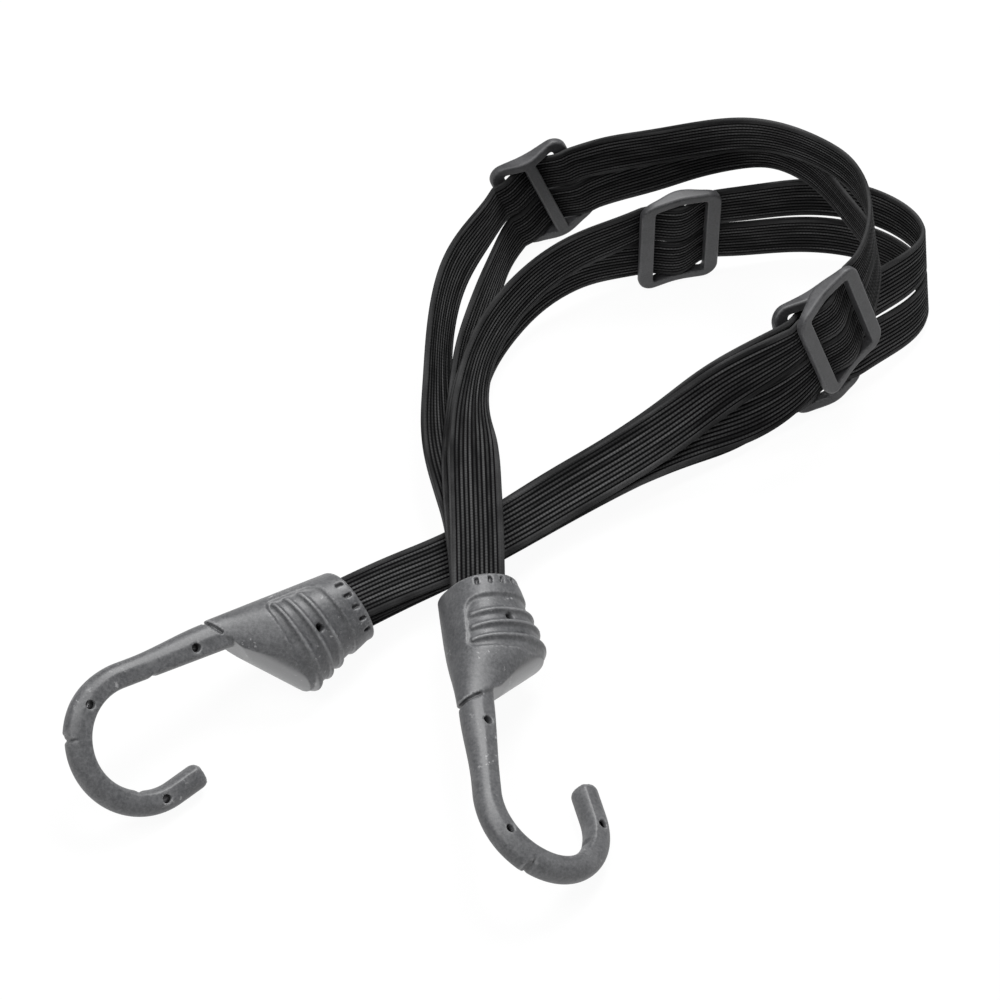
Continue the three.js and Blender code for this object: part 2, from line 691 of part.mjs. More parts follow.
const OUTER_SLIDERS = ['slider_back_left', 'slider_front_outer'];
const INNER_SLIDERS = ['slider_back_mid', 'slider_front_inner'];
net.add(mesh('band_outer_top', band(OUTER_PAIR, 1, OUTER_SLIDERS), ELASTIC));
net.add(mesh('band_outer_low', band(OUTER_PAIR, -1, OUTER_SLIDERS), ELASTIC));
net.add(mesh('band_inner_top', band(INNER_PAIR, 1, INNER_SLIDERS), ELASTIC));
net.add(mesh('band_inner_low', band(INNER_PAIR, -1, INNER_SLIDERS), ELASTIC));

// The hooks and sliders stand on the floor, centred on the origin
const box = new THREE.Box3();
net.updateMatrixWorld(true);
for (const piece of hard) {
  box.expandByObject(piece, true);
}
net.position.set(-(box.min.x + box.max.x) / 2, -(box.min.y + box.max.y) / 2, -box.min.z);
net.updateMatrixWorld(true);

export default net;
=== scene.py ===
# %% [markdown]
# Elastic luggage net
#
# Four flat woven elastic bands run side by side between two moulded hooks, and four plastic sliders
# hold them in pairs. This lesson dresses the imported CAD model: each step says what the piece is on
# the real object, how it could be made in Blender, and why it is made this way here. Everything is
# in metres, in the frame of the CAD model.

import json
import math

import bpy
import numpy as np
from mathutils import Matrix, Vector


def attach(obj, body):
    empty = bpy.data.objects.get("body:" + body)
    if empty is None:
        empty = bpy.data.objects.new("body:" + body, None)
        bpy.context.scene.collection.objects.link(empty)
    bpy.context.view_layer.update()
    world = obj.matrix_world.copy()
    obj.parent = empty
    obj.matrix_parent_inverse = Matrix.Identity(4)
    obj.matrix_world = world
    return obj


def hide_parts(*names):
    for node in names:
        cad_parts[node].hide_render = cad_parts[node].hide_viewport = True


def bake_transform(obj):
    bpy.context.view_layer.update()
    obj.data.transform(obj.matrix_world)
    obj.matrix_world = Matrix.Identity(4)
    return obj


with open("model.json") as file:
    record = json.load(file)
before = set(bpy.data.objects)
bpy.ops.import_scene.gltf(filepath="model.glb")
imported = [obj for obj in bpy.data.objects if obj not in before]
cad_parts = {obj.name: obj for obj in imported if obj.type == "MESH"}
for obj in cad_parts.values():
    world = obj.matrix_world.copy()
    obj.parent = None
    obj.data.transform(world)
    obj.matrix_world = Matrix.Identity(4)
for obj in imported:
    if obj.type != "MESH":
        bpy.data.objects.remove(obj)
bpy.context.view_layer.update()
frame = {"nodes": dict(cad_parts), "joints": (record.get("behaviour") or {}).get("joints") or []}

# %% [markdown]
# The camera stands 0.8 m from the net and looks down at it by fifty degrees, with a long lens, so
# that the near hook is only a little larger than the far bands. The picture is square.

# %% Camera
AIM = Vector((0.00144, 0.01179, 0.00049))
EYE = Vector((0.00144, -0.50244, 0.61333))


def put(name, data):
    piece = bpy.data.objects.new(name, data)
    bpy.context.scene.collection.objects.link(piece)
    return piece


camera_data = bpy.data.cameras.new("product_camera")
camera_data.lens = 106
camera_data.sensor_width = 36
camera_data.sensor_fit = "HORIZONTAL"
camera_data.clip_start = 0.02
camera = put("product_camera", camera_data)
camera.location = EYE
camera.rotation_euler = (AIM - EYE).to_track_quat("-Z", "Y").to_euler()
bpy.context.scene.camera = camera
bpy.context.scene.view_settings.view_transform = "Standard"
print("camera distance:", round((AIM - EYE).length, 3))

# %% [markdown]
# Each band follows a route. A row of the route holds a point of the line between the two bands of a
# pair, how far the bands lean out of the upright, the gap between their edges (below zero where they
# lie over each other) and how far apart they are layered. The points are the ones of the CAD model,
# so the dressed bands lie in the solids. A smooth curve through the points is sampled about every one
# and a half millimetres, and at each sample a small frame tells which way the band runs, how it stands
# and where its face looks. Where no slider or hook holds a band, its line is then evened out a little,
# as its own tension would do.

# %% Sizes and places shared with the CAD model
LAY = np.array([0.001438, 0.011789, 0.000491])
BAND_WIDTH = 0.014
BAND_THICK = 0.0014
LAYER_PITCH = 0.00175
PAIR_GAP = 0.0006
BAND_HUMP = 0.0016
BAR_REACH = 0.0099
HUMP_FADE = 0.014
RIBS = 11

HOOKS = {
    "hook_front": ((0.01023, -0.11053, 0.01263), (0.0847, -0.9953, 0.0468), (0.8305, 0.0446, -0.5553)),
    "hook_left": ((-0.08934, -0.08972, 0.01512), (-0.8166, -0.5481, 0.181), (0.3162, -0.6872, -0.6541)),
}
SLIDERS = {
    "slider_back_left": ((0.0128, 0.0989, 0.01932), 19, 21, 1, -1),
    "slider_back_mid": ((0.0507, 0.0832, 0.01764), 17, 2, 4, 1),
    "slider_front_outer": ((0.0908, 0.0322, 0.0336), 228, -18, 10, -1),
    "slider_front_inner": ((0.0882, 0.0406, 0.01722), 215, -4, 20, 1),
}
UP = np.array([0.0, 0.0, 1.0])


def unit(v):
    return v / np.linalg.norm(v)


def hook_axes(name):
    centre, shank, tip = (np.array(item) for item in HOOKS[name])
    u = unit(shank)
    v = unit(tip - u * tip.dot(u))
    return centre, u, v, np.cross(u, v)


def slider_axes(name):
    at, *turns, face = SLIDERS[name]
    head, climb, lean = (math.radians(turn) for turn in turns)
    along = np.array([math.cos(head) * math.cos(climb), math.sin(head) * math.cos(climb), math.sin(climb)])
    side = unit(np.cross(along, UP))
    up = np.cross(side, along)
    wide = up * math.cos(lean) + side * math.sin(lean)
    return np.array(at), along, wide, np.cross(along, wide), face


print("hooks:", len(HOOKS), "sliders:", len(SLIDERS))

# %% Rows where the bands enter the hooks and pass the sliders
MOUTH = np.array([-0.0666, -0.0122, 0.0])
BORE_TILT = math.radians(6.5)
STACK_CLOCK = math.radians(36)
BAND_END = 0.0224
SLIDER_ROWS = (-0.011, -0.0055, 0, 0.0055, 0.011)
BORE_WAY = np.array([math.cos(BORE_TILT), math.sin(BORE_TILT), 0.0])
BORE_UP = np.array([-BORE_WAY[1], BORE_WAY[0], 0.0])
STACK_WIDE = BORE_UP * math.cos(STACK_CLOCK) + UP * math.sin(STACK_CLOCK)
STACK_UP = UP * math.cos(STACK_CLOCK) - BORE_UP * math.sin(STACK_CLOCK)


def mouth_rows(name, depths, level, share):
    centre, u, v, w = hook_axes(name)
    turn = np.array([u, v, w])
    sign = -1 if depths[0] > depths[-1] else 1
    way = sign * BORE_WAY @ turn
    wide = -STACK_WIDE @ turn
    side = unit(np.cross(way, UP))
    lean = math.degrees(math.atan2(wide.dot(side), wide.dot(np.cross(side, way))))
    rows = []
    for depth in depths:
        p = centre + (MOUTH + BORE_WAY * depth + STACK_UP * level * LAYER_PITCH) @ turn
        rows.append((*p, lean, -BAND_WIDTH, share))
    return rows


def slider_rows(name):
    at, along, _, _, _ = slider_axes(name)
    lean = SLIDERS[name][3]
    return [(*(at + along * run), lean, PAIR_GAP, 0) for run in SLIDER_ROWS]


IN_FRONT = (BAND_END, BAND_END / 2, 0)
IN_LEFT = (0, BAND_END / 2, BAND_END)
print("rows in a mouth:", len(IN_LEFT), "rows in a slider:", len(SLIDER_ROWS))

# %% Route of the outer pair
OUTER_PAIR = [
    *mouth_rows("hook_front", IN_FRONT, -1, -1),
    (-0.0064, -0.034, 0.0156, -93, -0.014, -1),
    (-0.0076, -0.02, 0.0154, -93, -0.0136, -1.1),
    (-0.01, -0.005, 0.0132, -82, -0.0115, -1.2),
    (-0.0124, 0.01, 0.0112, -60, -0.0085, -1.2),
    (-0.0134, 0.026, 0.011, -35, -0.005, -1.1),
    (-0.013, 0.044, 0.0132, -26, -0.0012, -1.1),
    (-0.009, 0.064, 0.015, -23, 0.0026, -1),
    (-0.0034, 0.0794, 0.0154, -14, 0.002, -0.4),
    *slider_rows("slider_back_left"),
    (0.033, 0.1028, 0.0259, 5, -0.0008, 0.9),
    (0.046, 0.099, 0.0338, 9, -0.003, 1),
    (0.06, 0.0954, 0.0414, 9, -0.0045, 1),
    (0.074, 0.091, 0.0472, 10, -0.005, 1),
    (0.0866, 0.0834, 0.0476, 12, -0.001, 1),
    (0.0964, 0.0706, 0.0468, 9, 0.0048, 0),
    (0.1022, 0.0552, 0.047, 8, 0.0022, 0),
    *slider_rows("slider_front_outer"),
    (0.067, 0.0168, 0.0236, 26, -0.0008, -1),
    (0.05, 0.0106, 0.0176, 44, -0.0086, -1),
    (0.033, 0.002, 0.0136, 58, -0.0124, -1),
    (0.017, -0.0074, 0.0109, 66, -0.0134, -1),
    (0.002, -0.0176, 0.0094, 74, -0.014, -1),
    (-0.013, -0.028, 0.0094, 78, -0.014, -1),
    (-0.026, -0.036, 0.011, 80, -0.014, -1),
    *mouth_rows("hook_left", IN_LEFT, 1, -1),
]

# %% Route of the inner pair
INNER_PAIR = [
    *mouth_rows("hook_front", IN_FRONT, 1, 1),
    (-0.0058, -0.034, 0.0193, -93, -0.014, 1),
    (-0.0062, -0.02, 0.0194, -95, -0.014, 1),
    (-0.0068, -0.005, 0.0178, -88, -0.014, 1),
    (-0.0076, 0.01, 0.0148, -68, -0.014, 1),
    (-0.0082, 0.025, 0.012, -40, -0.0134, 1),
    (-0.0062, 0.04, 0.0112, -26, -0.0115, 1),
    (0.0002, 0.055, 0.0117, -18, -0.009, 1),
    (0.012, 0.0688, 0.0146, -9, -0.007, 1),
    (0.0254, 0.0764, 0.017, -2, -0.004, 1.1),
    (0.0326, 0.0782, 0.0172, 1, -0.0014, 1.25),
    *slider_rows("slider_back_mid"),
    (0.08, 0.0926, 0.0164, 1, 0.001, 0),
    (0.094, 0.0932, 0.0162, 0, 0.0012, 0),
    (0.107, 0.09, 0.0158, 2, 0.0014, 0),
    (0.1175, 0.0825, 0.015, 4, 0.0014, 0),
    (0.1216, 0.0725, 0.0154, 8, 0.001, 0),
    (0.116, 0.0616, 0.0162, 16, 0.0014, 0),
    *slider_rows("slider_front_inner"),
    (0.0625, 0.0232, 0.0134, 34, -0.0008, -1),
    (0.0465, 0.0146, 0.0101, 50, -0.0086, -1),
    (0.0305, 0.0052, 0.0079, 62, -0.0124, -1),
    (0.015, -0.0048, 0.0068, 70, -0.0134, -1),
    (0.0005, -0.0152, 0.0056, 76, -0.014, -1),
    (-0.014, -0.026, 0.0056, 79, -0.014, -1),
    (-0.026, -0.0346, 0.0074, 80, -0.014, -1),
    *mouth_rows("hook_left", IN_LEFT, -1, -1),
]
print("route rows:", len(OUTER_PAIR), "and", len(INNER_PAIR))

# %% Smooth run through the rows
STATION_STEP, EVEN_ROUNDS = 0.0016, 26
SLIDER_NEAR, SLIDER_HOLD, HOLD_END = 0.028, 0.0128, 0.0178
STILL_HOLD, STILL_END, MOUTH_FADE = 0.0118, 0.0138, 0.006


def smoothstep(x, low, high):
    t = np.clip((x - low) / (high - low), 0, 1)
    return t * t * (3 - 2 * t)


def slope(before, after):
    """Slope at a row that keeps lean, gap and layering from swinging past the rows."""
    both = before + after
    return np.where(before * after > 0, 2 * before * after / np.where(both == 0, 1, both), 0.0)


def spans(path):
    return np.linalg.norm(np.diff(path, axis=0), axis=1)


def knot_gap(a, b):
    return math.sqrt(np.linalg.norm(b[:3] - a[:3]))


def mix(a, b, ta, tb, t):
    return (a * (tb - t) + b * (t - ta)) / (tb - ta)


def stations(rows):
    """Samples of a centripetal curve through the rows."""
    rows = [np.array(row, float) for row in rows]
    ends = [2 * rows[0] - rows[1], *rows, 2 * rows[-1] - rows[-2]]
    run = []
    for p0, p1, p2, p3 in zip(ends, ends[1:], ends[2:], ends[3:]):
        t1 = knot_gap(p0, p1)
        t2 = t1 + knot_gap(p1, p2)
        t3 = t2 + knot_gap(p2, p3)
        steps = max(2, round((t2 - t1) ** 2 / STATION_STEP))
        rise = (p2[3:] - p1[3:]) / (t2 - t1)
        start = slope((p1[3:] - p0[3:]) / t1, rise) * (t2 - t1)
        end = slope(rise, (p3[3:] - p2[3:]) / (t3 - t2)) * (t2 - t1)
        for k in range(steps):
            t = t1 + (t2 - t1) * k / steps
            d = mix(mix(p0, p1, 0, t1, t), mix(p1, p2, t1, t2, t), 0, t2, t)
            e = mix(mix(p1, p2, t1, t2, t), mix(p2, p3, t2, t3, t), t1, t3, t)
            s = k / steps
            rest = p1[3:] + (p2[3:] - p1[3:]) * smoothstep(s, 0, 1)
            rest = rest + start * s * (1 - s) ** 2 - end * s * s * (1 - s)
            run.append(np.concatenate([mix(d, e, t1, t2, t)[:3], rest]))
    return np.array([*run, rows[-1]])


def hump(run):
    """Lift of a tape under the middle bar of a slider and over its end bars."""
    x = np.abs(run)
    inside = BAND_HUMP * np.cos(math.pi * x / BAR_REACH)
    beside = -BAND_HUMP * 0.5 * (1 + np.cos(math.pi * (x - BAR_REACH) / HUMP_FADE))
    return np.where(x < BAR_REACH, inside, np.where(x < BAR_REACH + HUMP_FADE, beside, 0.0))


def relaxed(centres, wides, outs, free):
    """Even out the tape where nothing holds it, as its own tension does."""
    for _ in range(EVEN_ROUNDS):
        for path in (centres, wides):
            path[1:-1] += 0.5 * free[1:-1, None] * ((path[:-2] + path[2:]) / 2 - path[1:-1])
    ways = np.gradient(centres, axis=0)
    outs = outs + free[:, None] * (np.cross(ways / np.linalg.norm(ways, axis=1)[:, None], wides) - outs)
    return centres, *(v / np.linalg.norm(v, axis=1)[:, None] for v in (wides, outs))


def band_line(rows, part, names):
    """Centres, width directions and face directions of one band, and the run along its pair."""
    run = stations(rows)
    centres, wides, outs, holds = [], [], [], []
    for k, row in enumerate(run):
        hold = 0.0
        at = row[:3].copy()
        way = unit(run[min(k + 1, len(run) - 1)][:3] - run[max(k - 1, 0)][:3])
        side = unit(np.cross(way, UP))
        lean = math.radians(row[3])
        wide = np.cross(side, way) * math.cos(lean) + side * math.sin(lean)
        lift = part * row[5] * LAYER_PITCH / 2
        for name in names:
            middle, along, hold_wide, _, face = slider_axes(name)
            off = at - middle
            if np.linalg.norm(off) > SLIDER_NEAR:
                continue
            pos = off.dot(along)
            held = 1 - smoothstep(abs(pos), SLIDER_HOLD, HOLD_END)
            at = at + (middle + along * pos - at) * held
            way = unit(way + (along - way) * held)
            wide = unit(wide + (hold_wide - wide) * held)
            lift += face * float(hump(pos))
            hold = max(hold, 1 - smoothstep(abs(pos), STILL_HOLD, STILL_END))
        out = unit(np.cross(way, wide))
        centres.append(at + wide * part * (BAND_WIDTH + row[4]) / 2 + out * lift + LAY)
        wides.append(wide)
        outs.append(out)
        holds.append(hold)
    line = run[:, :3]
    lengths = np.concatenate([[0], np.cumsum(spans(line))])
    ends = np.minimum(lengths, lengths[-1] - lengths)
    free = (1 - np.array(holds)) * smoothstep(ends, BAND_END, BAND_END + MOUTH_FADE)
    return *relaxed(np.array(centres), np.array(wides), np.array(outs), free), lengths, line


BANDS = {
    "band_outer_top": (OUTER_PAIR, 1, ("slider_back_left", "slider_front_outer")),
    "band_outer_low": (OUTER_PAIR, -1, ("slider_back_left", "slider_front_outer")),
    "band_inner_top": (INNER_PAIR, 1, ("slider_back_mid", "slider_front_inner")),
    "band_inner_low": (INNER_PAIR, -1, ("slider_back_mid", "slider_front_inner")),
}
LINES = {name: band_line(*plan) for name, plan in BANDS.items()}
for name, (centres, _, _, _, _) in LINES.items():
    print(name, "stations:", len(centres), "length:", round(float(spans(centres).sum()), 4))

# %% [markdown]
# Sums of nodes are easier to read as Python sums. The class below wraps one socket of a node tree, and
# the operators it knows add Math nodes. Every other node comes from one method of the finish, which
# takes the node's type, its settings and what goes into its sockets.


# %% Sockets as values
class Value:
    def __init__(self, tree, socket):
        self.tree = tree
        self.socket = socket

    def math(self, operation, *others):
        node = self.tree.nodes.new("ShaderNodeMath")
        node.operation = operation
        for slot, item in zip(node.inputs, (self, *others)):
            plug(self.tree, slot, item)
        return Value(self.tree, node.outputs[0])

    def __add__(self, other):
        return self.math("ADD", other)

    def __mul__(self, other):
        return self.math("MULTIPLY", other)

    def __sub__(self, other):
        return self.math("SUBTRACT", other)

    def __rsub__(self, other):
        return (self * -1) + other

    __radd__ = __add__
    __rmul__ = __mul__


def plug(tree, slot, item):
    if isinstance(item, Value):
        tree.links.new(item.socket, slot)
    else:
        slot.default_value = item


class Finish:
    """A material with one Principled shader; node() adds anything else to its tree."""

    def __init__(self, name, **constants):
        self.material = bpy.data.materials.new(name)
        self.material.use_nodes = True
        self.tree = self.material.node_tree
        self.shader = self.tree.nodes["Principled BSDF"]
        for socket, amount in constants.items():
            self.shader.inputs[socket.replace("_", " ")].default_value = amount

    def node(self, kind, settings=None, sockets=None, out=0):
        node = self.tree.nodes.new(kind)
        for key, setting in (settings or {}).items():
            setattr(node, key, setting)
        for key, item in (sockets or {}).items():
            plug(self.tree, node.inputs[key], item)
        return Value(self.tree, node.outputs[out])

    def place(self):
        return self.node("ShaderNodeTexCoord", out="Object")

    def attribute(self, name):
        return self.node("ShaderNodeAttribute", {"attribute_name": name}, out="Fac")

    def noise(self, where, scale, detail, rough):
        sockets = {"Vector": where, "Scale": scale, "Detail": detail, "Roughness": rough}
        return self.node("ShaderNodeTexNoise", None, sockets)

    def band(self, value, low, high):
        settings = {"interpolation_type": "SMOOTHSTEP"}
        sockets = {"Value": value, "From Min": low, "From Max": high}
        return self.node("ShaderNodeMapRange", settings, sockets)

    def tint(self, share, first, second):
        first, second = (c if isinstance(c, Value) else (*c, 1.0) for c in (first, second))
        return self.node("ShaderNodeMix", {"data_type": "RGBA"}, {0: share, 6: first, 7: second}, out=2)

    def feed(self, socket, item):
        plug(self.tree, self.shader.inputs[socket], item)

    def bump(self, height, strength, distance):
        sockets = {"Height": height, "Strength": strength, "Distance": distance}
        self.feed("Normal", self.node("ShaderNodeBump", None, sockets))


# %% [markdown]
# The elastic is a narrow woven tape: rubber cores lie side by side as eleven fine ribs, and a black
# textile yarn is woven across them, which shows as short dashes along every rib. The dashes are far too
# small for geometry, so the weave is a bump that reads two attributes which the tape carries, the run
# along it and the count of ribs across it. The colour reads them too: it carries a painted highlight on
# the rib crests and along the two selvedges, stronger on some ribs than on others, and painted shade in
# the grooves. The two selvedges are smooth.

# %% Elastic finish
DASH_LENGTH = 0.00095


def elastic_finish():
    finish = Finish("black_elastic", Specular_IOR_Level=0.06)
    along = finish.attribute("along")
    rib = finish.attribute("rib")
    crest = (rib * math.pi).math("SINE").math("ABSOLUTE")
    selvedge = finish.band((rib - RIBS / 2).math("ABSOLUTE"), RIBS / 2 - 1.0, RIBS / 2 - 0.6)
    # Painted highlight: the colour is lighter on the rib crests and along the selvedges, as if they caught
    # the light.
    top = finish.band(crest + selvedge, 0.5, 0.9)
    column = rib.math("FLOOR")
    turn = (along * (1 / DASH_LENGTH) + (column * 0.5).math("FRACT")) * (2 * math.pi)
    dash = turn.math("SINE") * 0.5 + 0.5
    yarn = finish.noise(finish.place(), 2600.0, 3.0, 0.6)
    lane = finish.node("ShaderNodeCombineXYZ", None, {"X": column * 3.7, "Y": along * 24.0})
    # Painted highlight that is stronger on some ribs than on others, in streaks along them.
    streak = finish.band(finish.noise(lane, 1.0, 3.0, 0.6), 0.3, 0.75)
    weave = crest * (dash * 0.55 + 0.45)
    painted_highlight = top * (1 - 0.4 * selvedge) * (1 - 0.4 * dash * (1 - selvedge))
    light = painted_highlight * (0.12 + 0.88 * streak) * (0.5 + yarn)
    # The dark colour is painted shade in the grooves, the light one a painted highlight on the crests.
    finish.feed("Base Color", finish.tint(light, (0.0006, 0.0006, 0.0008), (0.085, 0.085, 0.086)))
    finish.feed("Roughness", 0.52 + 0.2 * (1 - crest) + 0.12 * yarn)
    finish.bump(weave * 0.8 + yarn * 0.35, 0.6, 0.00024)
    return finish.material


ELASTIC = elastic_finish()
print("finish:", ELASTIC.name)

# %% [markdown]
# The ribs repeat across the tape, so Geometry Nodes make them. The script lofts a plain tape along the
# route, with rounded edges, and the tree below presses a groove between each two ribs on both faces. A
# tube with a ribbed outline would do as well, but the tree keeps the depth and the roundness of the ribs
# as inputs that can be changed by hand.


# %% Tree that presses the grooves
def rib_tree():
    tree = bpy.data.node_groups.new("ribbed_tape", "GeometryNodeTree")
    new, link = tree.nodes.new, tree.links.new

    def socket(name, kind, way="INPUT"):
        return tree.interface.new_socket(name, in_out=way, socket_type=f"NodeSocket{kind}").identifier

    def named(attribute, kind):
        node = new("GeometryNodeInputNamedAttribute")
        node.data_type = kind
        node.inputs[0].default_value = attribute
        return Value(tree, node.outputs[0])

    socket("Geometry", "Geometry")
    inputs = {"depth": socket("Groove depth", "Float"), "roundness": socket("Rib roundness", "Float"),
              "finish": socket("Finish", "Material")}
    socket("Geometry", "Geometry", "OUTPUT")
    start, end = new("NodeGroupInput"), new("NodeGroupOutput")
    crest = (named("rib", "FLOAT") * math.pi).math("SINE").math("ABSOLUTE")
    roundness, depth = (Value(tree, start.outputs[name]) for name in ("Rib roundness", "Groove depth"))
    groove = 1 - crest.math("POWER", roundness)
    push = new("ShaderNodeVectorMath")
    push.operation = "SCALE"
    plug(tree, push.inputs[0], named("face_out", "FLOAT_VECTOR"))
    plug(tree, push.inputs["Scale"], groove * depth * -1)
    kinds = ("GeometryNodeSetPosition", "GeometryNodeRealizeInstances", "GeometryNodeSetMaterial")
    move, real, dress = (new(kind) for kind in kinds)
    link(start.outputs["Geometry"], move.inputs["Geometry"])
    link(push.outputs[0], move.inputs["Offset"])
    link(move.outputs[0], real.inputs[0])
    link(real.outputs[0], dress.inputs[0])
    link(start.outputs["Finish"], dress.inputs["Material"])
    link(dress.outputs[0], end.inputs[0])
    return tree, inputs


RIB_TREE, RIB_INPUT = rib_tree()
print("tree:", RIB_TREE.name, "ribs:", RIBS)

# %% [markdown]
# A tape is lofted from rings. Each ring is the tape's outline: two flat faces with five points for a
# rib, and an edge rounded over three points. The end rings are closed with a flat face whose border is
# sharp, so that two pieces that meet end to end shade as one.

# %% Outline of the tape
TAPE_EDGE = [(0.00035, 0.00042), (0.0005, 0.0), (0.00035, -0.00042)]
RIB_POINTS, GROOVE_DEPTH, RIB_ROUNDNESS = 5, 0.00026, 0.7


def tape_outline():
    """Across, over, rib count and face direction of each point of the ring."""
    flat = BAND_WIDTH / 2 - TAPE_EDGE[1][0]
    half = BAND_THICK / 2
    count = RIBS * RIB_POINTS
    top = [(-flat + 2 * flat * k / count, half, RIBS * k / count, 1.0) for k in range(count + 1)]
    bend = [(flat + x, y, RIBS, 0.0) for x, y in TAPE_EDGE]
    low = [(x, -y, rib, -side) for x, y, rib, side in reversed(top)]
    back = [(-x, -y, 0.0, 0.0) for x, y, _, _ in bend]
    return np.array([*top, *bend, *low, *back])


OUTLINE = tape_outline()
print("outline points:", len(OUTLINE))


# %% Loft of one piece of tape
def baked(piece):
    """Turn what the modifiers make into the object's own plain mesh."""
    bpy.context.view_layer.update()
    shape = piece.evaluated_get(bpy.context.evaluated_depsgraph_get())
    plain = bpy.data.meshes.new_from_object(shape)
    piece.modifiers.clear()
    old, piece.data = piece.data, plain
    bpy.data.meshes.remove(old)
    plain.name = piece.name
    return plain


def ring_points(line, k):
    centres, wides, outs, _, _ = line
    return np.array([centres[k] + wides[k] * x + outs[k] * y for x, y, _, _ in OUTLINE])


def tape_piece(name, line, first, last):
    """One object of ribbed tape over the stations first to last of a band."""
    outs, lengths = line[2], line[3]
    count, rings = len(OUTLINE), last - first + 1
    points, normals, ribs, alongs, faces = [], [], [], [], []
    for k in range(first, last + 1):
        points += map(tuple, ring_points(line, k))
        normals += [outs[k] * side for side in OUTLINE[:, 3]]
        ribs += OUTLINE[:, 2].tolist()
        alongs += [lengths[k]] * count
    for a in range(0, (rings - 1) * count, count):
        b = a + count
        faces += [(a + j, b + j, b + (j + 1) % count, a + (j + 1) % count) for j in range(count)]
    tail = (rings - 1) * count
    faces += [tuple(range(count)), tuple(reversed(range(tail, tail + count)))]
    blank = bpy.data.meshes.new(name)
    blank.from_pydata(points, [], faces)
    marks = [("rib", "FLOAT", "value", ribs), ("along", "FLOAT", "value", alongs),
             ("face_out", "FLOAT_VECTOR", "vector", normals)]
    for mark, kind, field, items in marks:
        layer = blank.attributes.new(mark, kind, "POINT")
        layer.data.foreach_set(field, np.array(items, np.float32).ravel())
    tape = put(name, blank)
    press = tape.modifiers.new("ribs", "NODES")
    press.node_group = RIB_TREE
    press[RIB_INPUT["depth"]] = GROOVE_DEPTH
    press[RIB_INPUT["roundness"]] = RIB_ROUNDNESS
    press[RIB_INPUT["finish"]] = ELASTIC
    plain = baked(tape)
    for polygon in plain.polygons:
        polygon.use_smooth = len(polygon.vertices) == 4
    rims = {(base + j, base + (j + 1) % count) for base in (0, tail) for j in range(count)}
    rims |= {(b, a) for a, b in rims}
    sharp = plain.attributes.get("sharp_edge") or plain.attributes.new("sharp_edge", "BOOLEAN", "EDGE")
    sharp.data.foreach_set("value", [tuple(edge.vertices) in rims for edge in plain.edges])
    return tape


# %% [markdown]
# A band is one tape, but it moves in parts: its two tails stretch when a hook is pulled, and the stretch
# inside a slider goes along when the slider is pushed. So each band is cut ring on ring into six pieces:
# the front tail, the way into the first slider, the middle, the way into and out of the second slider, and
# the left tail. At rest no cut shows.

# %% Cut the bands into pieces
SLIDER_ZONE, BLEND_CLEAR = 0.033, 0.0002
AXES = {joint["child"]: unit(np.array(joint["axis"], float)) for joint in frame["joints"]}


def tape_with(name, line, first, last, way, still, held):
    """A piece of tape over the stations first to last, with its place baked into its mesh."""
    piece = tape_piece(name, line, first, last)
    low = float((ring_points(line, still) @ way).max()) + BLEND_CLEAR
    tuple(way * low)
    tuple(way * held)
    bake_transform(piece)
    return piece


def cord_of(line, first, last):
    path = line[0][first:last + 1]
    length = float(spans(path).sum())
    return length


def station_at(lengths, run):
    return int(np.argmin(np.abs(lengths - run)))


def slider_cuts(name, line):
    """Stations before, at and behind a slider, its way and how far along that it holds the tape."""
    _, _, _, lengths, route = line
    at, along = slider_axes(name)[:2]
    middle = int(np.argmin(np.linalg.norm(route - at, axis=1)))
    before, behind = (station_at(lengths, lengths[middle] + off) for off in (-SLIDER_ZONE, SLIDER_ZONE))
    return before, middle, behind, along, float((at + LAY) @ along)


def make_band(name):
    line = LINES[name]
    lengths, last = line[3], len(line[0]) - 1
    first_slider, second_slider = BANDS[name][2]
    b1, m1, a1, way1, level1 = slider_cuts(first_slider, line)
    b2, m2, a2, way2, level2 = slider_cuts(second_slider, line)
    mouths = {"front": station_at(lengths, BAND_END), "left": station_at(lengths, lengths[-1] - BAND_END)}
    held = {side: float((ring_points(line, mouths[side]) @ AXES[f"hook_{side}"]).min()) for side in mouths}
    front = tape_with(f"{name}_front_tail", line, 0, b1, AXES["hook_front"], b1, held["front"])
    into = tape_with(f"{name}_first_way_in", line, b1, m1, way1, b1, level1 - SLIDER_HOLD)
    middle = tape_with(f"{name}_middle", line, m1, b2, -way1, a1, -level1 - SLIDER_HOLD)
    onto = tape_with(f"{name}_second_way_in", line, b2, m2, way2, b2, level2 - SLIDER_HOLD)
    off = tape_with(f"{name}_second_way_out", line, m2, a2, -way2, a2, -level2 - SLIDER_HOLD)
    left = tape_with(f"{name}_left_tail", line, a2, last, AXES["hook_left"], a2, held["left"])
    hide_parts(name)
    parts = [cord_of(line, 0, b1),
             cord_of(line, m1, b2),
             cord_of(line, a2, last)]
    print(name, "cords:", [round(part, 4) for part in parts])


for band in BANDS:
    make_band(band)

# %% [markdown]
# The hook is injection moulded round a bent steel wire. It is drawn in its own frame, in millimetres: u
# runs along the shank to the bow, v points to the tip's side and w goes through the hook. The barrel is a
# loft whose spine is straight and whose other side swells to a lobe; the grip panel and its three ribs are
# pressed into the skin by a depth that depends on the place. Rod, bore, pin holes and notches are joined
# or cut with booleans. A voxel remesh then turns the sharp joints into the small even radii of a moulding,
# which bevels on such a cut-up mesh would not give.

# %% Lofts and prisms for the mouldings
SOFT_FACTOR, SOFT_ROUNDS = 0.5, 2


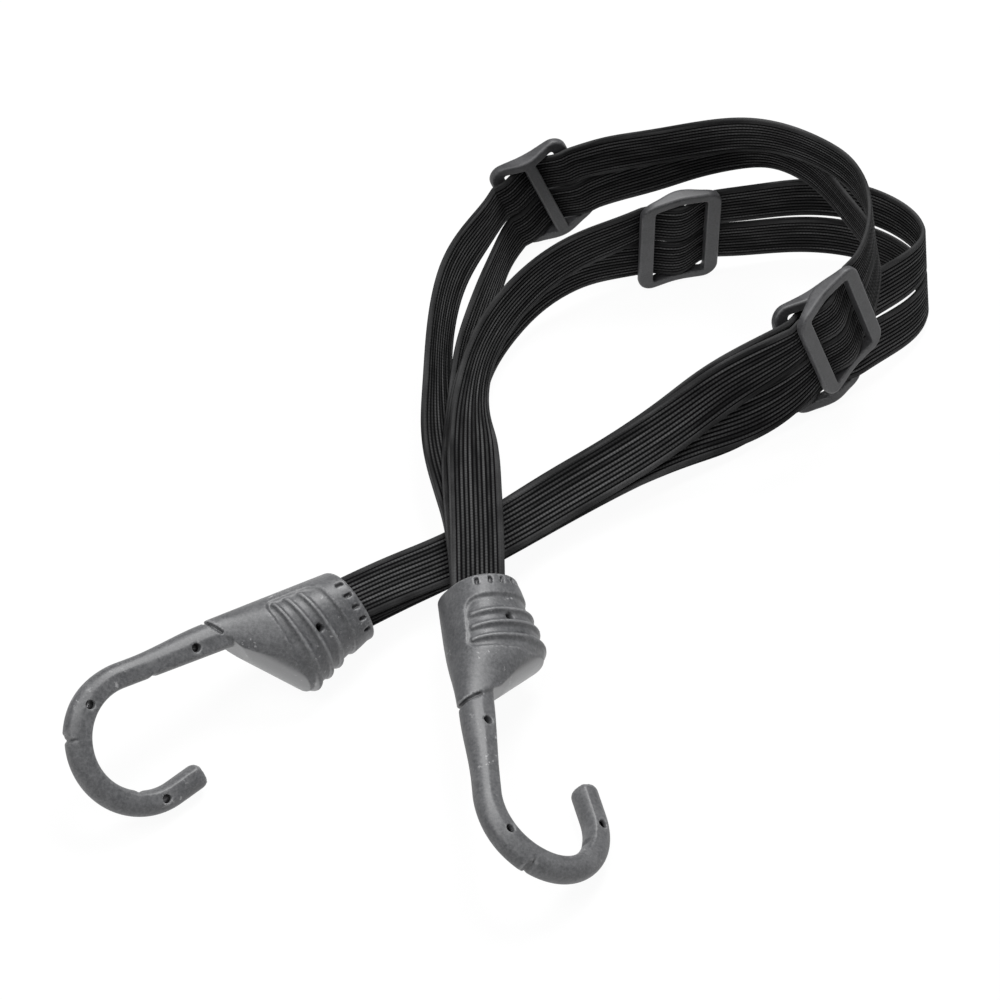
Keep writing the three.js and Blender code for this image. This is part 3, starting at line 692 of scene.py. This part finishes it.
def loft_object(name, rings, closed=False):
    rings = np.asarray(rings, float)
    total, count = rings.shape[:2]
    faces = []
    for i in range(total if closed else total - 1):
        a, b = i * count, ((i + 1) % total) * count
        faces += [(a + k, a + (k + 1) % count, b + (k + 1) % count, b + k) for k in range(count)]
    if not closed:
        tail = (total - 1) * count
        faces.append(tuple(reversed(range(count))))
        faces.append(tuple(range(tail, tail + count)))
    shape = bpy.data.meshes.new(name)
    shape.from_pydata([tuple(p) for p in rings.reshape(-1, 3)], [], faces)
    return put(name, shape)


def prism(name, start, end, across, outline):
    start, end = np.array(start, float), np.array(end, float)
    way = unit(end - start)
    over = unit(np.cross(way, np.array(across, float)))
    side = np.cross(over, way)
    return loft_object(name, [[at + side * x + over * y for x, y in outline] for at in (start, end)])


def circle(radius, count):
    turn = [2 * math.pi * k / count for k in range(count)]
    return [(radius * math.cos(a), radius * math.sin(a)) for a in turn]


def rounded(half_x, half_y, radius, steps=6):
    outline = []
    for sx, sy, start in ((1, 1, 0), (-1, 1, 90), (-1, -1, 180), (1, -1, 270)):
        for k in range(steps + 1):
            a = math.radians(start + 90 * k / steps)
            x = sx * (half_x - radius) + radius * math.cos(a)
            outline.append((x, sy * (half_y - radius) + radius * math.sin(a)))
    return outline


def box_outline(x, y):
    return [(x, y), (-x, y), (-x, -y), (x, -y)]


def modify(piece, kind, **settings):
    modifier = piece.modifiers.new(kind.lower(), kind)
    for key, setting in settings.items():
        setattr(modifier, key, setting)


def carve(blank, steps):
    """Join ('UNION') or cut ('DIFFERENCE') the helpers, which are then removed."""
    for operation, helper in steps:
        modify(blank, "BOOLEAN", operation=operation, solver="MANIFOLD", object=helper)
    baked(blank)
    for _, helper in steps:
        shape = helper.data
        bpy.data.objects.remove(helper)
        bpy.data.meshes.remove(shape)


def mould(blank, voxel):
    """Even quads with softened edges, as from a mould."""
    modify(blank, "REMESH", mode="VOXEL", voxel_size=voxel, use_smooth_shade=True)
    modify(blank, "SMOOTH", factor=SOFT_FACTOR, iterations=SOFT_ROUNDS)
    return baked(blank)


# %% Rod and bow
BOW_RADIUS, BOW_TURN, ROD_HALF, TIP_LENGTH = 16.3, math.radians(193), 3.25, 8.6
BOW_LENGTH = BOW_RADIUS * BOW_TURN
ROD_END = BOW_LENGTH + TIP_LENGTH
SHANK_START, SHANK_RUN, SHANK_TAPER, BACK_TAPER = -40, (4, 26), 1.0, 0.5
LIP, LIP_RUN, LIP_END = 0.55, (2, 14), BOW_RADIUS * math.radians(71)
LIP_SLIT, SLIT_DEPTH = 0.7, 0.75
TIP_ROUND, TIP_BLEND, TIP_BLUNT, BLUNT_RUN = 0.35, 17.0, 0.14, 1.2
ROD_STEP, EDGE_HALF, TIP_RING = 0.6, 0.05, 0.2
OUTER_FLANK = [(1.01, 0.0), (1.0, 0.17), (0.97, 0.34), (0.91, 0.49),
               (0.82, 0.63), (0.69, 0.755), (0.5, 0.87), (0.25, 1.0)]
INNER_FLANK = [(-0.2, 1.0), (-0.68, 1.0), (-0.79, 0.885), (-0.88, 0.74),
               (-0.94, 0.57), (-0.98, 0.38), (-1.0, 0.2), (-1.01, 0.0)]


def bow_run(degrees):
    return math.radians(degrees) * BOW_RADIUS


def rod_centre(run):
    """Place and turn of the rod's line, below zero on the shank, then round the bow to the tip."""
    if run < 0:
        return (run, -BOW_RADIUS), 0.0
    a = min(run / BOW_RADIUS, BOW_TURN)
    rest = max(0.0, run - BOW_LENGTH)
    x = BOW_RADIUS * math.sin(a) + rest * math.cos(a)
    return (x, -BOW_RADIUS * math.cos(a) + rest * math.sin(a)), a


def rod_ring(run, outline):
    (x, y), way = rod_centre(run)
    return [(x + out * math.sin(way), y - out * math.cos(way), -through) for out, through in outline]


def rod_outline(run, less=0.0):
    """Flat inside and round back: a shank that grows, a lip that ends on the bow, a rounder tip."""
    growth = smoothstep(-run, *SHANK_RUN)
    grown = ROD_HALF - less + SHANK_TAPER * growth
    slit = SLIT_DEPTH * (LIP_END <= run < LIP_END + LIP_SLIT)
    lip = LIP * smoothstep(run, *LIP_RUN) * (run < LIP_END) - slit
    lip = lip + BACK_TAPER * growth
    blunt = 1 - TIP_BLUNT * smoothstep(run, ROD_END - BLUNT_RUN, ROD_END)
    turned = TIP_ROUND * smoothstep(run, LIP_END, LIP_END + TIP_BLEND)
    upper = [(x, y, 1 - turned + turned / math.hypot(x, y)) for x, y in OUTER_FLANK + INNER_FLANK]
    upper = [(x * size, y * size) for x, y, size in upper]
    outline = upper + [(x, -y) for x, y in reversed(upper[1:-1])]
    grown_out, inside = (grown + lip) * blunt, (ROD_HALF - less) * blunt
    return [(x * (grown_out if x > 0 else inside), y * grown * blunt) for x, y in outline]


def swept(name, start, end, outline_at):
    """A loft along the rod's line, with close rings at both edges of the slit and at the end."""
    marks = [at + d for at in (LIP_END, LIP_END + LIP_SLIT) for d in (-EDGE_HALF, EDGE_HALF)]
    runs = sorted({*np.arange(start, end, ROD_STEP).tolist(), *marks, end - TIP_RING, end})
    runs = [run for run in runs if start <= run <= end]
    return loft_object(name, [rod_ring(run, outline_at(run)) for run in runs])


print("rod length:", round(ROD_END - SHANK_START, 1), "mm")

# %% Barrel with its grip panel
MOUTH_U, MOUTH_V, THROAT = -66.6, -12.2, -42.4
BARREL_STATIONS, RING_POINTS = np.arange(MOUTH_U, -23.9, 0.3), 112
SPINE = ((-67.5, -22.2), (-27, -21.6), (-20, -21.4))
BELLY = ((-67.5, -2.2), (-64, -0.9), (-60, 0.6), (-57, 1.8), (-54, 3.2), (-51, 4.7), (-48, 5.7), (-20, 5.7))
CHEEK = ((-67.5, 10.6), (-50, 10.6), (-45, 10), (-40, 8.8), (-35, 7.1), (-31, 5.9), (-26, 5), (-20, 4.8))
EASING = ((-1.4, 1), (-0.7, 2), (0, 2), (0.7, 2), (1.4, 1))
RIM_TILT, TILT_FADE, RIM_SLANT, SLANT_START, SLANT_RUN = -0.28, (-48, -36), 0.14, -62, 4
RIM_EDGE, RIM_EDGE_RUN, BACK_FLATNESS = 0.5, 0.6, 0.8
PANEL_MID, PANEL_HALF, PANEL_DEPTH, PANEL_CORNER = -50.4, 8.2, 0.8, 3.4
PANEL_EDGE, PANEL_TURN, FAR_TURN, SKIN_DEGREE = (-0.5, 0.2), 156, 18, 0.185
GRIP_RIBS, RIB_FIRST, RIB_PITCH, RIB_HALF, RIB_HEIGHT = 3, -53.4, 4.0, 0.7, 1.0
RIB_FOOT, RIB_TOP, RIB_FADE = 0.4, 0.5, (146, 154)
CROWN, CROWN_REACH, COVE_REACH, COVE_SLOPE, COVE_FADE = 12.0, 11, 1.8, 0.3, (-0.8, -0.4)


def eased(table, at):
    """A profile through its stations, its corners rounded over about three millimetres."""
    xs, ys = zip(*table)
    return sum(np.interp(at + d, xs, ys) * k for d, k in EASING) / 8


def grip_depth(u, angle):
    """Depth of the skin at a station and an angle from the tip's side, less the ribs."""
    far = np.abs(u - PANEL_MID) - (PANEL_HALF - PANEL_CORNER)
    beyond = angle * SKIN_DEGREE - (PANEL_TURN * SKIN_DEGREE - PANEL_CORNER)
    outside = np.hypot(np.maximum(far, 0), np.maximum(beyond, 0))
    edge = outside + np.minimum(np.maximum(far, beyond), 0) - PANEL_CORNER
    depth = PANEL_DEPTH * (1 - smoothstep(edge, *PANEL_EDGE))
    for k in range(GRIP_RIBS):
        off = np.abs(u - RIB_FIRST - RIB_PITCH * k)
        rib = 1 - smoothstep(off, RIB_HALF - RIB_TOP, RIB_HALF + RIB_FOOT)
        depth = depth - RIB_HEIGHT * rib * (1 - smoothstep(angle, *RIB_FADE))
    return depth


def barrel_ring(u):
    """A ring that leans to the mouth on the tip's side, with a cove along the edge of the throat face."""
    tilt = RIM_TILT * (1 - smoothstep(u, *TILT_FADE))
    a = 2 * np.pi * np.arange(RING_POINTS) / RING_POINTS
    cos, sin = np.cos(a), np.sin(a)
    angle = np.abs(np.degrees(np.arctan2(sin, cos)))
    cut = grip_depth(u, angle + FAR_TURN * (sin < 0))
    cut = cut + RIM_EDGE * max(0.0, 1 - (u - MOUTH_U) / RIM_EDGE_RUN)
    flat = np.where(cos < 0, BACK_FLATNESS, 1.0)
    c, d = (np.sign(wave) * np.abs(wave) ** flat for wave in (cos, sin))
    y = np.full(RING_POINTS, MOUTH_V)
    for _ in range(4):
        x = u + tilt * (y - MOUTH_V)
        low, high = eased(SPINE, x), eased(BELLY, x)
        y = (low + high) / 2 + ((high - low) / 2 - cut) * c
    z = (eased(CHEEK, x) - cut) * d
    crown = np.sqrt(CROWN ** 2 - np.minimum(np.abs(z), CROWN_REACH) ** 2)
    inward = (THROAT - x - y) / math.sqrt(2) - CROWN + crown
    cove = COVE_SLOPE * np.clip(COVE_REACH - inward, 0, COVE_REACH + 1) * smoothstep(c, *COVE_FADE)
    y = (low + high) / 2 + ((high - low) / 2 - cut - cove * 0.4) * c
    z = z - cove * d
    slant = RIM_SLANT * min(max((SLANT_START - u) / SLANT_RUN, 0), 1)
    return np.stack([x + slant * z, y, z], 1)


def barrel():
    return loft_object("barrel", [barrel_ring(u) for u in BARREL_STATIONS])


print("barrel rings:", len(BARREL_STATIONS))

# %% Cutters for the throat face, the bore, the pin holes and the notches
CUT_LONG, CUT_WIDE, FACE_SHIFT = 60, 20, 20
STEP_AT, STEP_REACH, SLIT_CORE = np.array([-27.0, -20.0, 0.0]), 30, 0.75
STEP_WAY, STEP_OUT = unit(np.array([-5.5, 9.0, 0.0])), unit(np.array([9.0, 5.5, 0.0]))
BORE_RADIUS, WIRE_ROOM, STACK_HALF = 8.15, 1.95, (7.0, (3 * 1.75 + 1.4) / 2)
CRIMP_PLAY, CRIMP_WALL, CRIMP_ROUND = 0.4, 1.15, 2.0
PIN_RADIUS, NICK_RADIUS, NICK_OUT, GRIP_PIN = 1.15, 1.2, 3.75, (-51.8, -10.5)
PIN_RUNS = (-20.5, bow_run(40.6), bow_run(181.3))
NICKS = ((bow_run(71.1), NICK_OUT), (bow_run(157.8), -NICK_OUT), (-8, -NICK_OUT))
POCKETS, POCKET_TURN, POCKET_OUT, POCKET_RUN = 5, 19, 10.5, (1.1, 3.4)


def throat_face():
    way, out = unit(np.array([1.0, -1, 0])), unit(np.array([1.0, 1, 0]))
    middle = out * (THROAT / math.sqrt(2)) - way * FACE_SHIFT
    turns = np.radians(np.arange(90, -91, -3))
    bite = [(-CROWN + CROWN * math.cos(a), CROWN * math.sin(a)) for a in turns]
    outline = [(CUT_LONG, CUT_WIDE), (-CROWN, CUT_WIDE), *bite, (-CROWN, -CUT_WIDE), (CUT_LONG, -CUT_WIDE)]
    return prism("throat_face", middle - way * CUT_LONG, middle + way * CUT_LONG, out, outline)


def spine_step():
    middle, far = STEP_AT + STEP_OUT * STEP_REACH, STEP_WAY * CUT_LONG
    return prism("spine_step", middle - far, middle + far, STEP_OUT, box_outline(STEP_REACH, CUT_WIDE))


def step_groove():
    """A slit across the spine at the step, cut no deeper than a thinner rod."""
    at, through = STEP_AT + STEP_OUT * 0.1 - STEP_WAY * 1.0, UP * 9
    slit = prism("slit", at - through, at + through, STEP_OUT, box_outline(0.5, 4))
    core = swept("core", SHANK_START, 0, lambda run: rod_outline(run, SLIT_CORE))
    carve(slit, [("DIFFERENCE", core)])
    return slit


def bore_at(depth):
    return MOUTH * 1000 + BORE_WAY * depth


def bore_cutters():
    inner = rounded(*(half + CRIMP_PLAY + CRIMP_WALL for half in STACK_HALF), CRIMP_ROUND)
    return [
        prism("bore", bore_at(-6), bore_at(10.3), BORE_UP, circle(BORE_RADIUS, 72)),
        prism("crimp_room", bore_at(10.1), bore_at(23.7), STACK_WIDE, inner),
        swept("wire_room", MOUTH_U + 22, ROD_END - 2, lambda run: circle(WIRE_ROOM, 20)),
    ]


def drill(name, at, radius, count, low=-12, high=12):
    return prism(name, (*at, low), (*at, high), (1, 0, 0), circle(radius, count))


def pin_cutters():
    cutters = [drill("pin_hole", rod_centre(run)[0], PIN_RADIUS, 24) for run in PIN_RUNS]
    cutters.append(drill("grip_hole", GRIP_PIN, PIN_RADIUS, 24, 4, 14))
    for run, out in NICKS:
        (x, y), way = rod_centre(run)
        at = (x + out * math.sin(way), y - out * math.cos(way))
        cutters.append(drill("nick", at, NICK_RADIUS, 20))
    return cutters


def rim_cutters():
    cutters = []
    for k in range(POCKETS):
        a = math.radians(90 + POCKET_TURN * (k - POCKETS // 2))
        out = np.array([0.0, math.cos(a), math.sin(a)])
        at = np.array([0.0, MOUTH_V, 0]) + out * POCKET_OUT
        rim = MOUTH_U + RIM_TILT * (at[1] - MOUTH_V) + RIM_SLANT * at[2]
        start, end = (at + [rim + run, 0, 0] for run in POCKET_RUN)
        cutters.append(prism("rim_pocket", start, end, out, rounded(0.8, 0.55, 0.2, 3)))
    return cutters


print("pin holes:", len(PIN_RUNS) + 1, "nicks:", len(NICKS), "rim pockets:", POCKETS)

# %% Mould the hook
HOOK_VOXEL, HOOK_BEND, BEND_ROUNDS = 0.34, 0.9, 4
THROAT_LOOK, THROAT_BACK, THROAT_SIDE = (0.78, 0.9), (21, 23), (-19, -17.5)


def skin_of(shape):
    fields = []
    for field in ("co", "normal"):
        items = np.empty(len(shape.vertices) * 3)
        shape.vertices.foreach_get(field, items)
        fields.append(items.reshape(-1, 3))
    return fields


def keep_mark(shape, name, items):
    layer = shape.attributes.new(name, "FLOAT", "POINT")
    layer.data.foreach_set("value", items.astype(np.float32))


def crease(shape, reach):
    """How sharply the skin bends, outwards up to 1 and inwards down to -1, for worn edges with a painted
    highlight and for painted shade in creases.
    """
    place, normal = skin_of(shape)
    count = len(place)
    ends = np.empty(len(shape.edges) * 2, int)
    shape.edges.foreach_get("vertices", ends)
    a, b = ends.reshape(-1, 2).T
    step = place[b] - place[a]
    long = np.linalg.norm(step, axis=1) + 1e-9
    bend, many = np.zeros(count), np.bincount(ends, minlength=count)
    np.add.at(bend, a, -(step * normal[a]).sum(1) / long ** 2)
    np.add.at(bend, b, (step * normal[b]).sum(1) / long ** 2)
    bend = bend / np.maximum(many, 1)
    for _ in range(BEND_ROUNDS):
        spread = bend.copy()
        np.add.at(spread, a, bend[b])
        np.add.at(spread, b, bend[a])
        bend = spread / (many + 1)
    keep_mark(shape, "edge", np.clip(bend / reach, -1, 1))


def throat_mark(shape):
    """Mark the slanted face of the barrel over the throat, which the mould left smoother; the finish also
    paints it lighter, a painted reflection of the white floor.
    """
    place, normal = skin_of(shape)
    looks = smoothstep((normal[:, 0] + normal[:, 1]) / math.sqrt(2), *THROAT_LOOK)
    there = smoothstep(-place[:, 0], *THROAT_BACK) * smoothstep(place[:, 1], *THROAT_SIDE)
    keep_mark(shape, "throat", looks * there)


def hook_moulding():
    blank = barrel()
    rod = swept("rod", SHANK_START, ROD_END, rod_outline)
    steps = [("DIFFERENCE", throat_face()), ("DIFFERENCE", spine_step()), ("UNION", rod)]
    cutters = [step_groove(), *bore_cutters(), *pin_cutters(), *rim_cutters()]
    carve(blank, steps + [("DIFFERENCE", cutter) for cutter in cutters])
    shape = mould(blank, HOOK_VOXEL)
    crease(shape, HOOK_BEND)
    throat_mark(shape)
    bpy.data.objects.remove(blank)
    return shape


HOOK_SHAPE = hook_moulding()
print("hook faces:", len(HOOK_SHAPE.polygons))

# %% [markdown]
# The hooks are grey nylon with a fine grain from the mould, rubbed pale along the edges, scuffed in
# patches and smoother on the face over the throat. The pale edges are partly wear and partly a painted
# highlight on the ridges, the creases carry painted shade, and the face over the throat is lighter in
# colour as a painted reflection of the white floor. Grain and scuffs are noises on the object's own
# coordinates; the pale edges and the painted shade read the bend of the skin, which was measured on the
# mesh.


# %% Hook finish, and the hook laid twice
def hook_finish():
    finish = Finish("grey_nylon", IOR=1.52)
    place = finish.place()
    grain = finish.noise(place, 1300.0, 4.0, 0.7)
    cloud = finish.noise(place, 170.0, 4.0, 0.6)
    edge = finish.attribute("edge")
    throat = finish.attribute("throat")
    # Painted highlight and wear: convex edges are lighter, partly worn pale and partly a painted highlight
    # along the ridges.
    edge_wear_and_highlight = finish.band(edge + (grain - 0.5) * 0.5, 0.1, 0.55)
    # Painted shade: concave creases are darker.
    painted_crease_shade = finish.band(edge * -1, 0.08, 0.5)
    patch = finish.band(finish.noise(place, 75.0, 2.0, 0.5), 0.52, 0.62)
    scuff = finish.band(finish.noise(place, 620.0, 5.0, 0.62), 0.6, 0.67) * patch
    mottle = finish.band(grain * 0.65 + cloud * 0.35, 0.3, 0.72)
    shade = finish.tint(mottle, (0.046, 0.047, 0.050), (0.112, 0.113, 0.117))
    # Painted reflection: the face over the throat is lighter, as if it reflected the white floor; its lower
    # roughness below is the smoother face.
    shade = finish.tint(throat * 0.8, shade, (0.23, 0.231, 0.235))
    shade = finish.tint(edge_wear_and_highlight * (0.25 + 0.5 * cloud), shade, (0.22, 0.221, 0.225))
    shade = finish.tint(painted_crease_shade * 0.7, shade, (0.022, 0.022, 0.024))
    shade = finish.tint(scuff * 0.6, shade, (0.34, 0.34, 0.345))
    finish.feed("Base Color", shade)
    finish.feed("Roughness", 0.34 + 0.2 * cloud + 0.1 * grain - 0.1 * throat)
    finish.bump(grain * 0.7 + cloud * 0.5, 0.35, 0.00016)
    return finish.material


HOOK_FINISH = hook_finish()


def lay(name, shape, at, axes, finish):
    """A copy of a moulding that was drawn in millimetres, at its place and on its own body."""
    turn = Matrix(axes).transposed().to_4x4()
    copy = shape.copy()
    copy.transform(Matrix.Translation(Vector(at + LAY)) @ turn @ Matrix.Scale(0.001, 4))
    copy.materials.clear()
    copy.materials.append(finish)
    piece = put(f"{name}_moulding", copy)
    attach(piece, name)
    return piece


for name in HOOKS:
    centre, *axes = hook_axes(name)
    hook = lay(name, HOOK_SHAPE, centre, axes, HOOK_FINISH)
    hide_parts(f"{name}_shell")
print("hooks laid:", len(HOOKS))

# %% [markdown]
# A slider is a small frame with a bar across its middle. Its long sides swell to the back, where the bar is,
# so that the tapes pass over the end bars and under the bar. It is lofted as a closed ring whose outer
# edge is rounded, the bar is joined to it, and the same remesh softens it.

# %% Slider
SLIDER_LONG, SLIDER_SHORT, SLIDER_RAIL, SLIDER_END = 35.5, 24.0, 2.85, 4.2
SLIDER_BAR, SLIDER_HALF, SLIDER_WAVE, SLIDER_DIP = 3.6, 1.25, 1.2, 0.8
SLIDER_CORNER, WINDOW_CORNER, SLIDER_ROUND, BAR_HALF = 4.6, 1.0, 0.8, 1.2
SLIDER_VOXEL, SLIDER_BEND, CORNER_STEPS, SIDE_STEPS = 0.24, 1.2, 10, 32


def slider_wave(x, front):
    """Level of the frame's front, which dips a little, or of its back, which swells to the middle bar."""
    reach = SLIDER_SHORT / 2 - SLIDER_END / 2
    turn = math.cos(math.pi * min(abs(x) / reach, 1))
    return SLIDER_WAVE - SLIDER_DIP * (1 + turn) / 2 if front else -SLIDER_WAVE * turn


def slider_loop(half_x, half_y, radius):
    """A rounded outline with more points on the two sides that wave."""
    outline, corner = rounded(half_x, half_y, radius, CORNER_STEPS), CORNER_STEPS + 1
    loop = []
    for index in range(4):
        loop += outline[index * corner:(index + 1) * corner]
        if index % 2 == 0:
            x, y = loop[-1]
            loop += [(x * (1 - k / (SIDE_STEPS / 2)), y) for k in range(1, SIDE_STEPS)]
    return loop


def slider_moulding(face):
    outer = slider_loop(SLIDER_SHORT / 2, SLIDER_LONG / 2, SLIDER_CORNER)
    inner = slider_loop(SLIDER_SHORT / 2 - SLIDER_END, SLIDER_LONG / 2 - SLIDER_RAIL, WINDOW_CORNER)
    r, turns = SLIDER_ROUND, np.radians([0, 22, 45, 68, 90])
    arc = [(r - r * math.cos(a), SLIDER_HALF - r + r * math.sin(a)) for a in turns]
    section = [*arc, (None, SLIDER_HALF), (None, -SLIDER_HALF), *[(t, -z) for t, z in reversed(arc)]]
    rings = []
    for (ox, oy), (ix, iy) in zip(outer, inner):
        length = math.hypot(ix - ox, iy - oy)
        ring = []
        for t, z in section:
            share = 1.0 if t is None else t / length
            x = ox + (ix - ox) * share
            ring.append((x, oy + (iy - oy) * share, face * (z + slider_wave(x, z > 0))))
        rings.append(ring if face < 0 else ring[::-1])
    blank = loft_object("slider", rings, closed=True)
    reach = SLIDER_LONG / 2 - SLIDER_RAIL / 2
    level = -face * SLIDER_WAVE
    outline = rounded(SLIDER_BAR / 2, BAR_HALF, SLIDER_ROUND)
    bar = prism("slider_bar", (0, -reach, level), (0, reach, level), (1, 0, 0), outline)
    carve(blank, [("UNION", bar)])
    shape = mould(blank, SLIDER_VOXEL)
    crease(shape, SLIDER_BEND)
    bpy.data.objects.remove(blank)
    return shape


SLIDER_SHAPES = {face: slider_moulding(face) for face in (-1, 1)}
print("slider faces:", len(SLIDER_SHAPES[1].polygons))


# %% Slider finish, and the four sliders laid
def slider_finish():
    finish = Finish("dark_acetal", IOR=1.48)
    place = finish.place()
    grain = finish.noise(place, 1900.0, 3.0, 0.6)
    cloud = finish.noise(place, 190.0, 3.0, 0.55)
    edge = finish.attribute("edge")
    # Painted highlight and wear: the frame's convex edges are lighter, partly worn pale and partly a painted
    # highlight.
    edge_wear_and_highlight = finish.band(edge + (grain - 0.5) * 0.4, 0.15, 0.6)
    mottle = finish.band(grain * 0.5 + cloud * 0.5, 0.3, 0.7)
    shade = finish.tint(mottle, (0.026, 0.026, 0.028), (0.058, 0.058, 0.061))
    shade = finish.tint(edge_wear_and_highlight * 0.7, shade, (0.11, 0.11, 0.112))
    finish.feed("Base Color", shade)
    finish.feed("Roughness", 0.4 + 0.18 * cloud + 0.08 * grain)
    finish.bump(grain * 0.6 + cloud * 0.4, 0.22, 0.00012)
    return finish.material


SLIDER_FINISH = slider_finish()
for name in SLIDERS:
    at, *axes, face = slider_axes(name)
    piece = lay(name, SLIDER_SHAPES[face], at, axes, SLIDER_FINISH)
    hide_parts(name)
print("sliders laid:", len(SLIDERS))

# %% [markdown]
# The wire and the crimp are steel. They show only as glints deep in the pin holes and in the mouths, so
# the CAD solids stay, with a drawn steel finish.


# %% Steel finish
def steel_finish():
    finish = Finish("drawn_steel", Metallic=1.0)
    streak = finish.noise(finish.place(), 900.0, 3.0, 0.6)
    finish.feed("Base Color", finish.tint(streak, (0.42, 0.42, 0.43), (0.66, 0.66, 0.67)))
    finish.feed("Roughness", 0.28 + 0.2 * streak)
    return finish.material


STEEL = steel_finish()
for hook in HOOKS:
    for inner in ("wire", "crimp"):
        frame["nodes"][f"{hook}_{inner}"].material_slots[0].material = STEEL
print("finish:", STEEL.name)

# %% [markdown]
# The net lies on a white sheet under broad soft light. To the camera the floor is mostly a white glow, so
# that the background stays white, with a share of real paper that keeps a faint shadow. To light that
# bounces off the net it is mostly paper, so that it doesn't flood the undersides.

# %% Floor, world and lamps
GLOW_SEEN, GLOW_LOSS = 0.95, 0.85
ROOM_LIGHT, ROOM_SEEN = 0.13, 1.0
FLOOR_REACH = 6.0


def floor_finish():
    finish = Finish("white_sheet", Roughness=0.9)
    finish.feed("Base Color", (0.86, 0.86, 0.86, 1.0))
    tree = finish.tree
    glow = finish.node("ShaderNodeEmission", None, {"Color": (1, 1, 1, 1), "Strength": 1.0})
    bounced = finish.node("ShaderNodeLightPath", out="Is Diffuse Ray")
    share = GLOW_SEEN - bounced * GLOW_LOSS
    paper = Value(tree, finish.shader.outputs[0])
    mixed = finish.node("ShaderNodeMixShader", None, {0: share, 1: paper, 2: glow})
    tree.links.new(mixed.socket, tree.nodes["Material Output"].inputs["Surface"])
    return finish.material


sheet_shape = bpy.data.meshes.new("white_floor")
corners = [(x, y, 0) for x, y in box_outline(-FLOOR_REACH, -FLOOR_REACH)]
sheet_shape.from_pydata(corners, [], [(0, 1, 2, 3)])
floor = put("white_floor", sheet_shape)
sheet_shape.materials.append(floor_finish())

world = bpy.data.worlds.new("white_room")
bpy.context.scene.world = world
world.use_nodes = True
air = world.node_tree
room = air.nodes["Background"]
room.inputs["Color"].default_value = (1, 1, 1, 1)
path = air.nodes.new("ShaderNodeLightPath")
level = air.nodes.new("ShaderNodeMapRange")
level.inputs["To Min"].default_value = ROOM_LIGHT
level.inputs["To Max"].default_value = ROOM_SEEN
air.links.new(path.outputs["Is Camera Ray"], level.inputs["Value"])
air.links.new(level.outputs[0], room.inputs["Strength"])


def lamp(name, place, size, power):
    data = bpy.data.lights.new(name, "AREA")
    data.shape = "DISK"
    data.size = size
    data.energy = power
    light = put(name, data)
    light.location = place
    light.rotation_euler = (-Vector(place)).to_track_quat("-Z", "Y").to_euler()


lamp("key_back", (0.20, 0.50, 0.95), 0.5, 14.0)
lamp("top_soft", (-0.35, -0.20, 1.05), 0.6, 9.0)
lamp("front_soft", (0.30, -0.95, 0.50), 0.7, 1.0)
print("lamps:", len(bpy.data.lights))
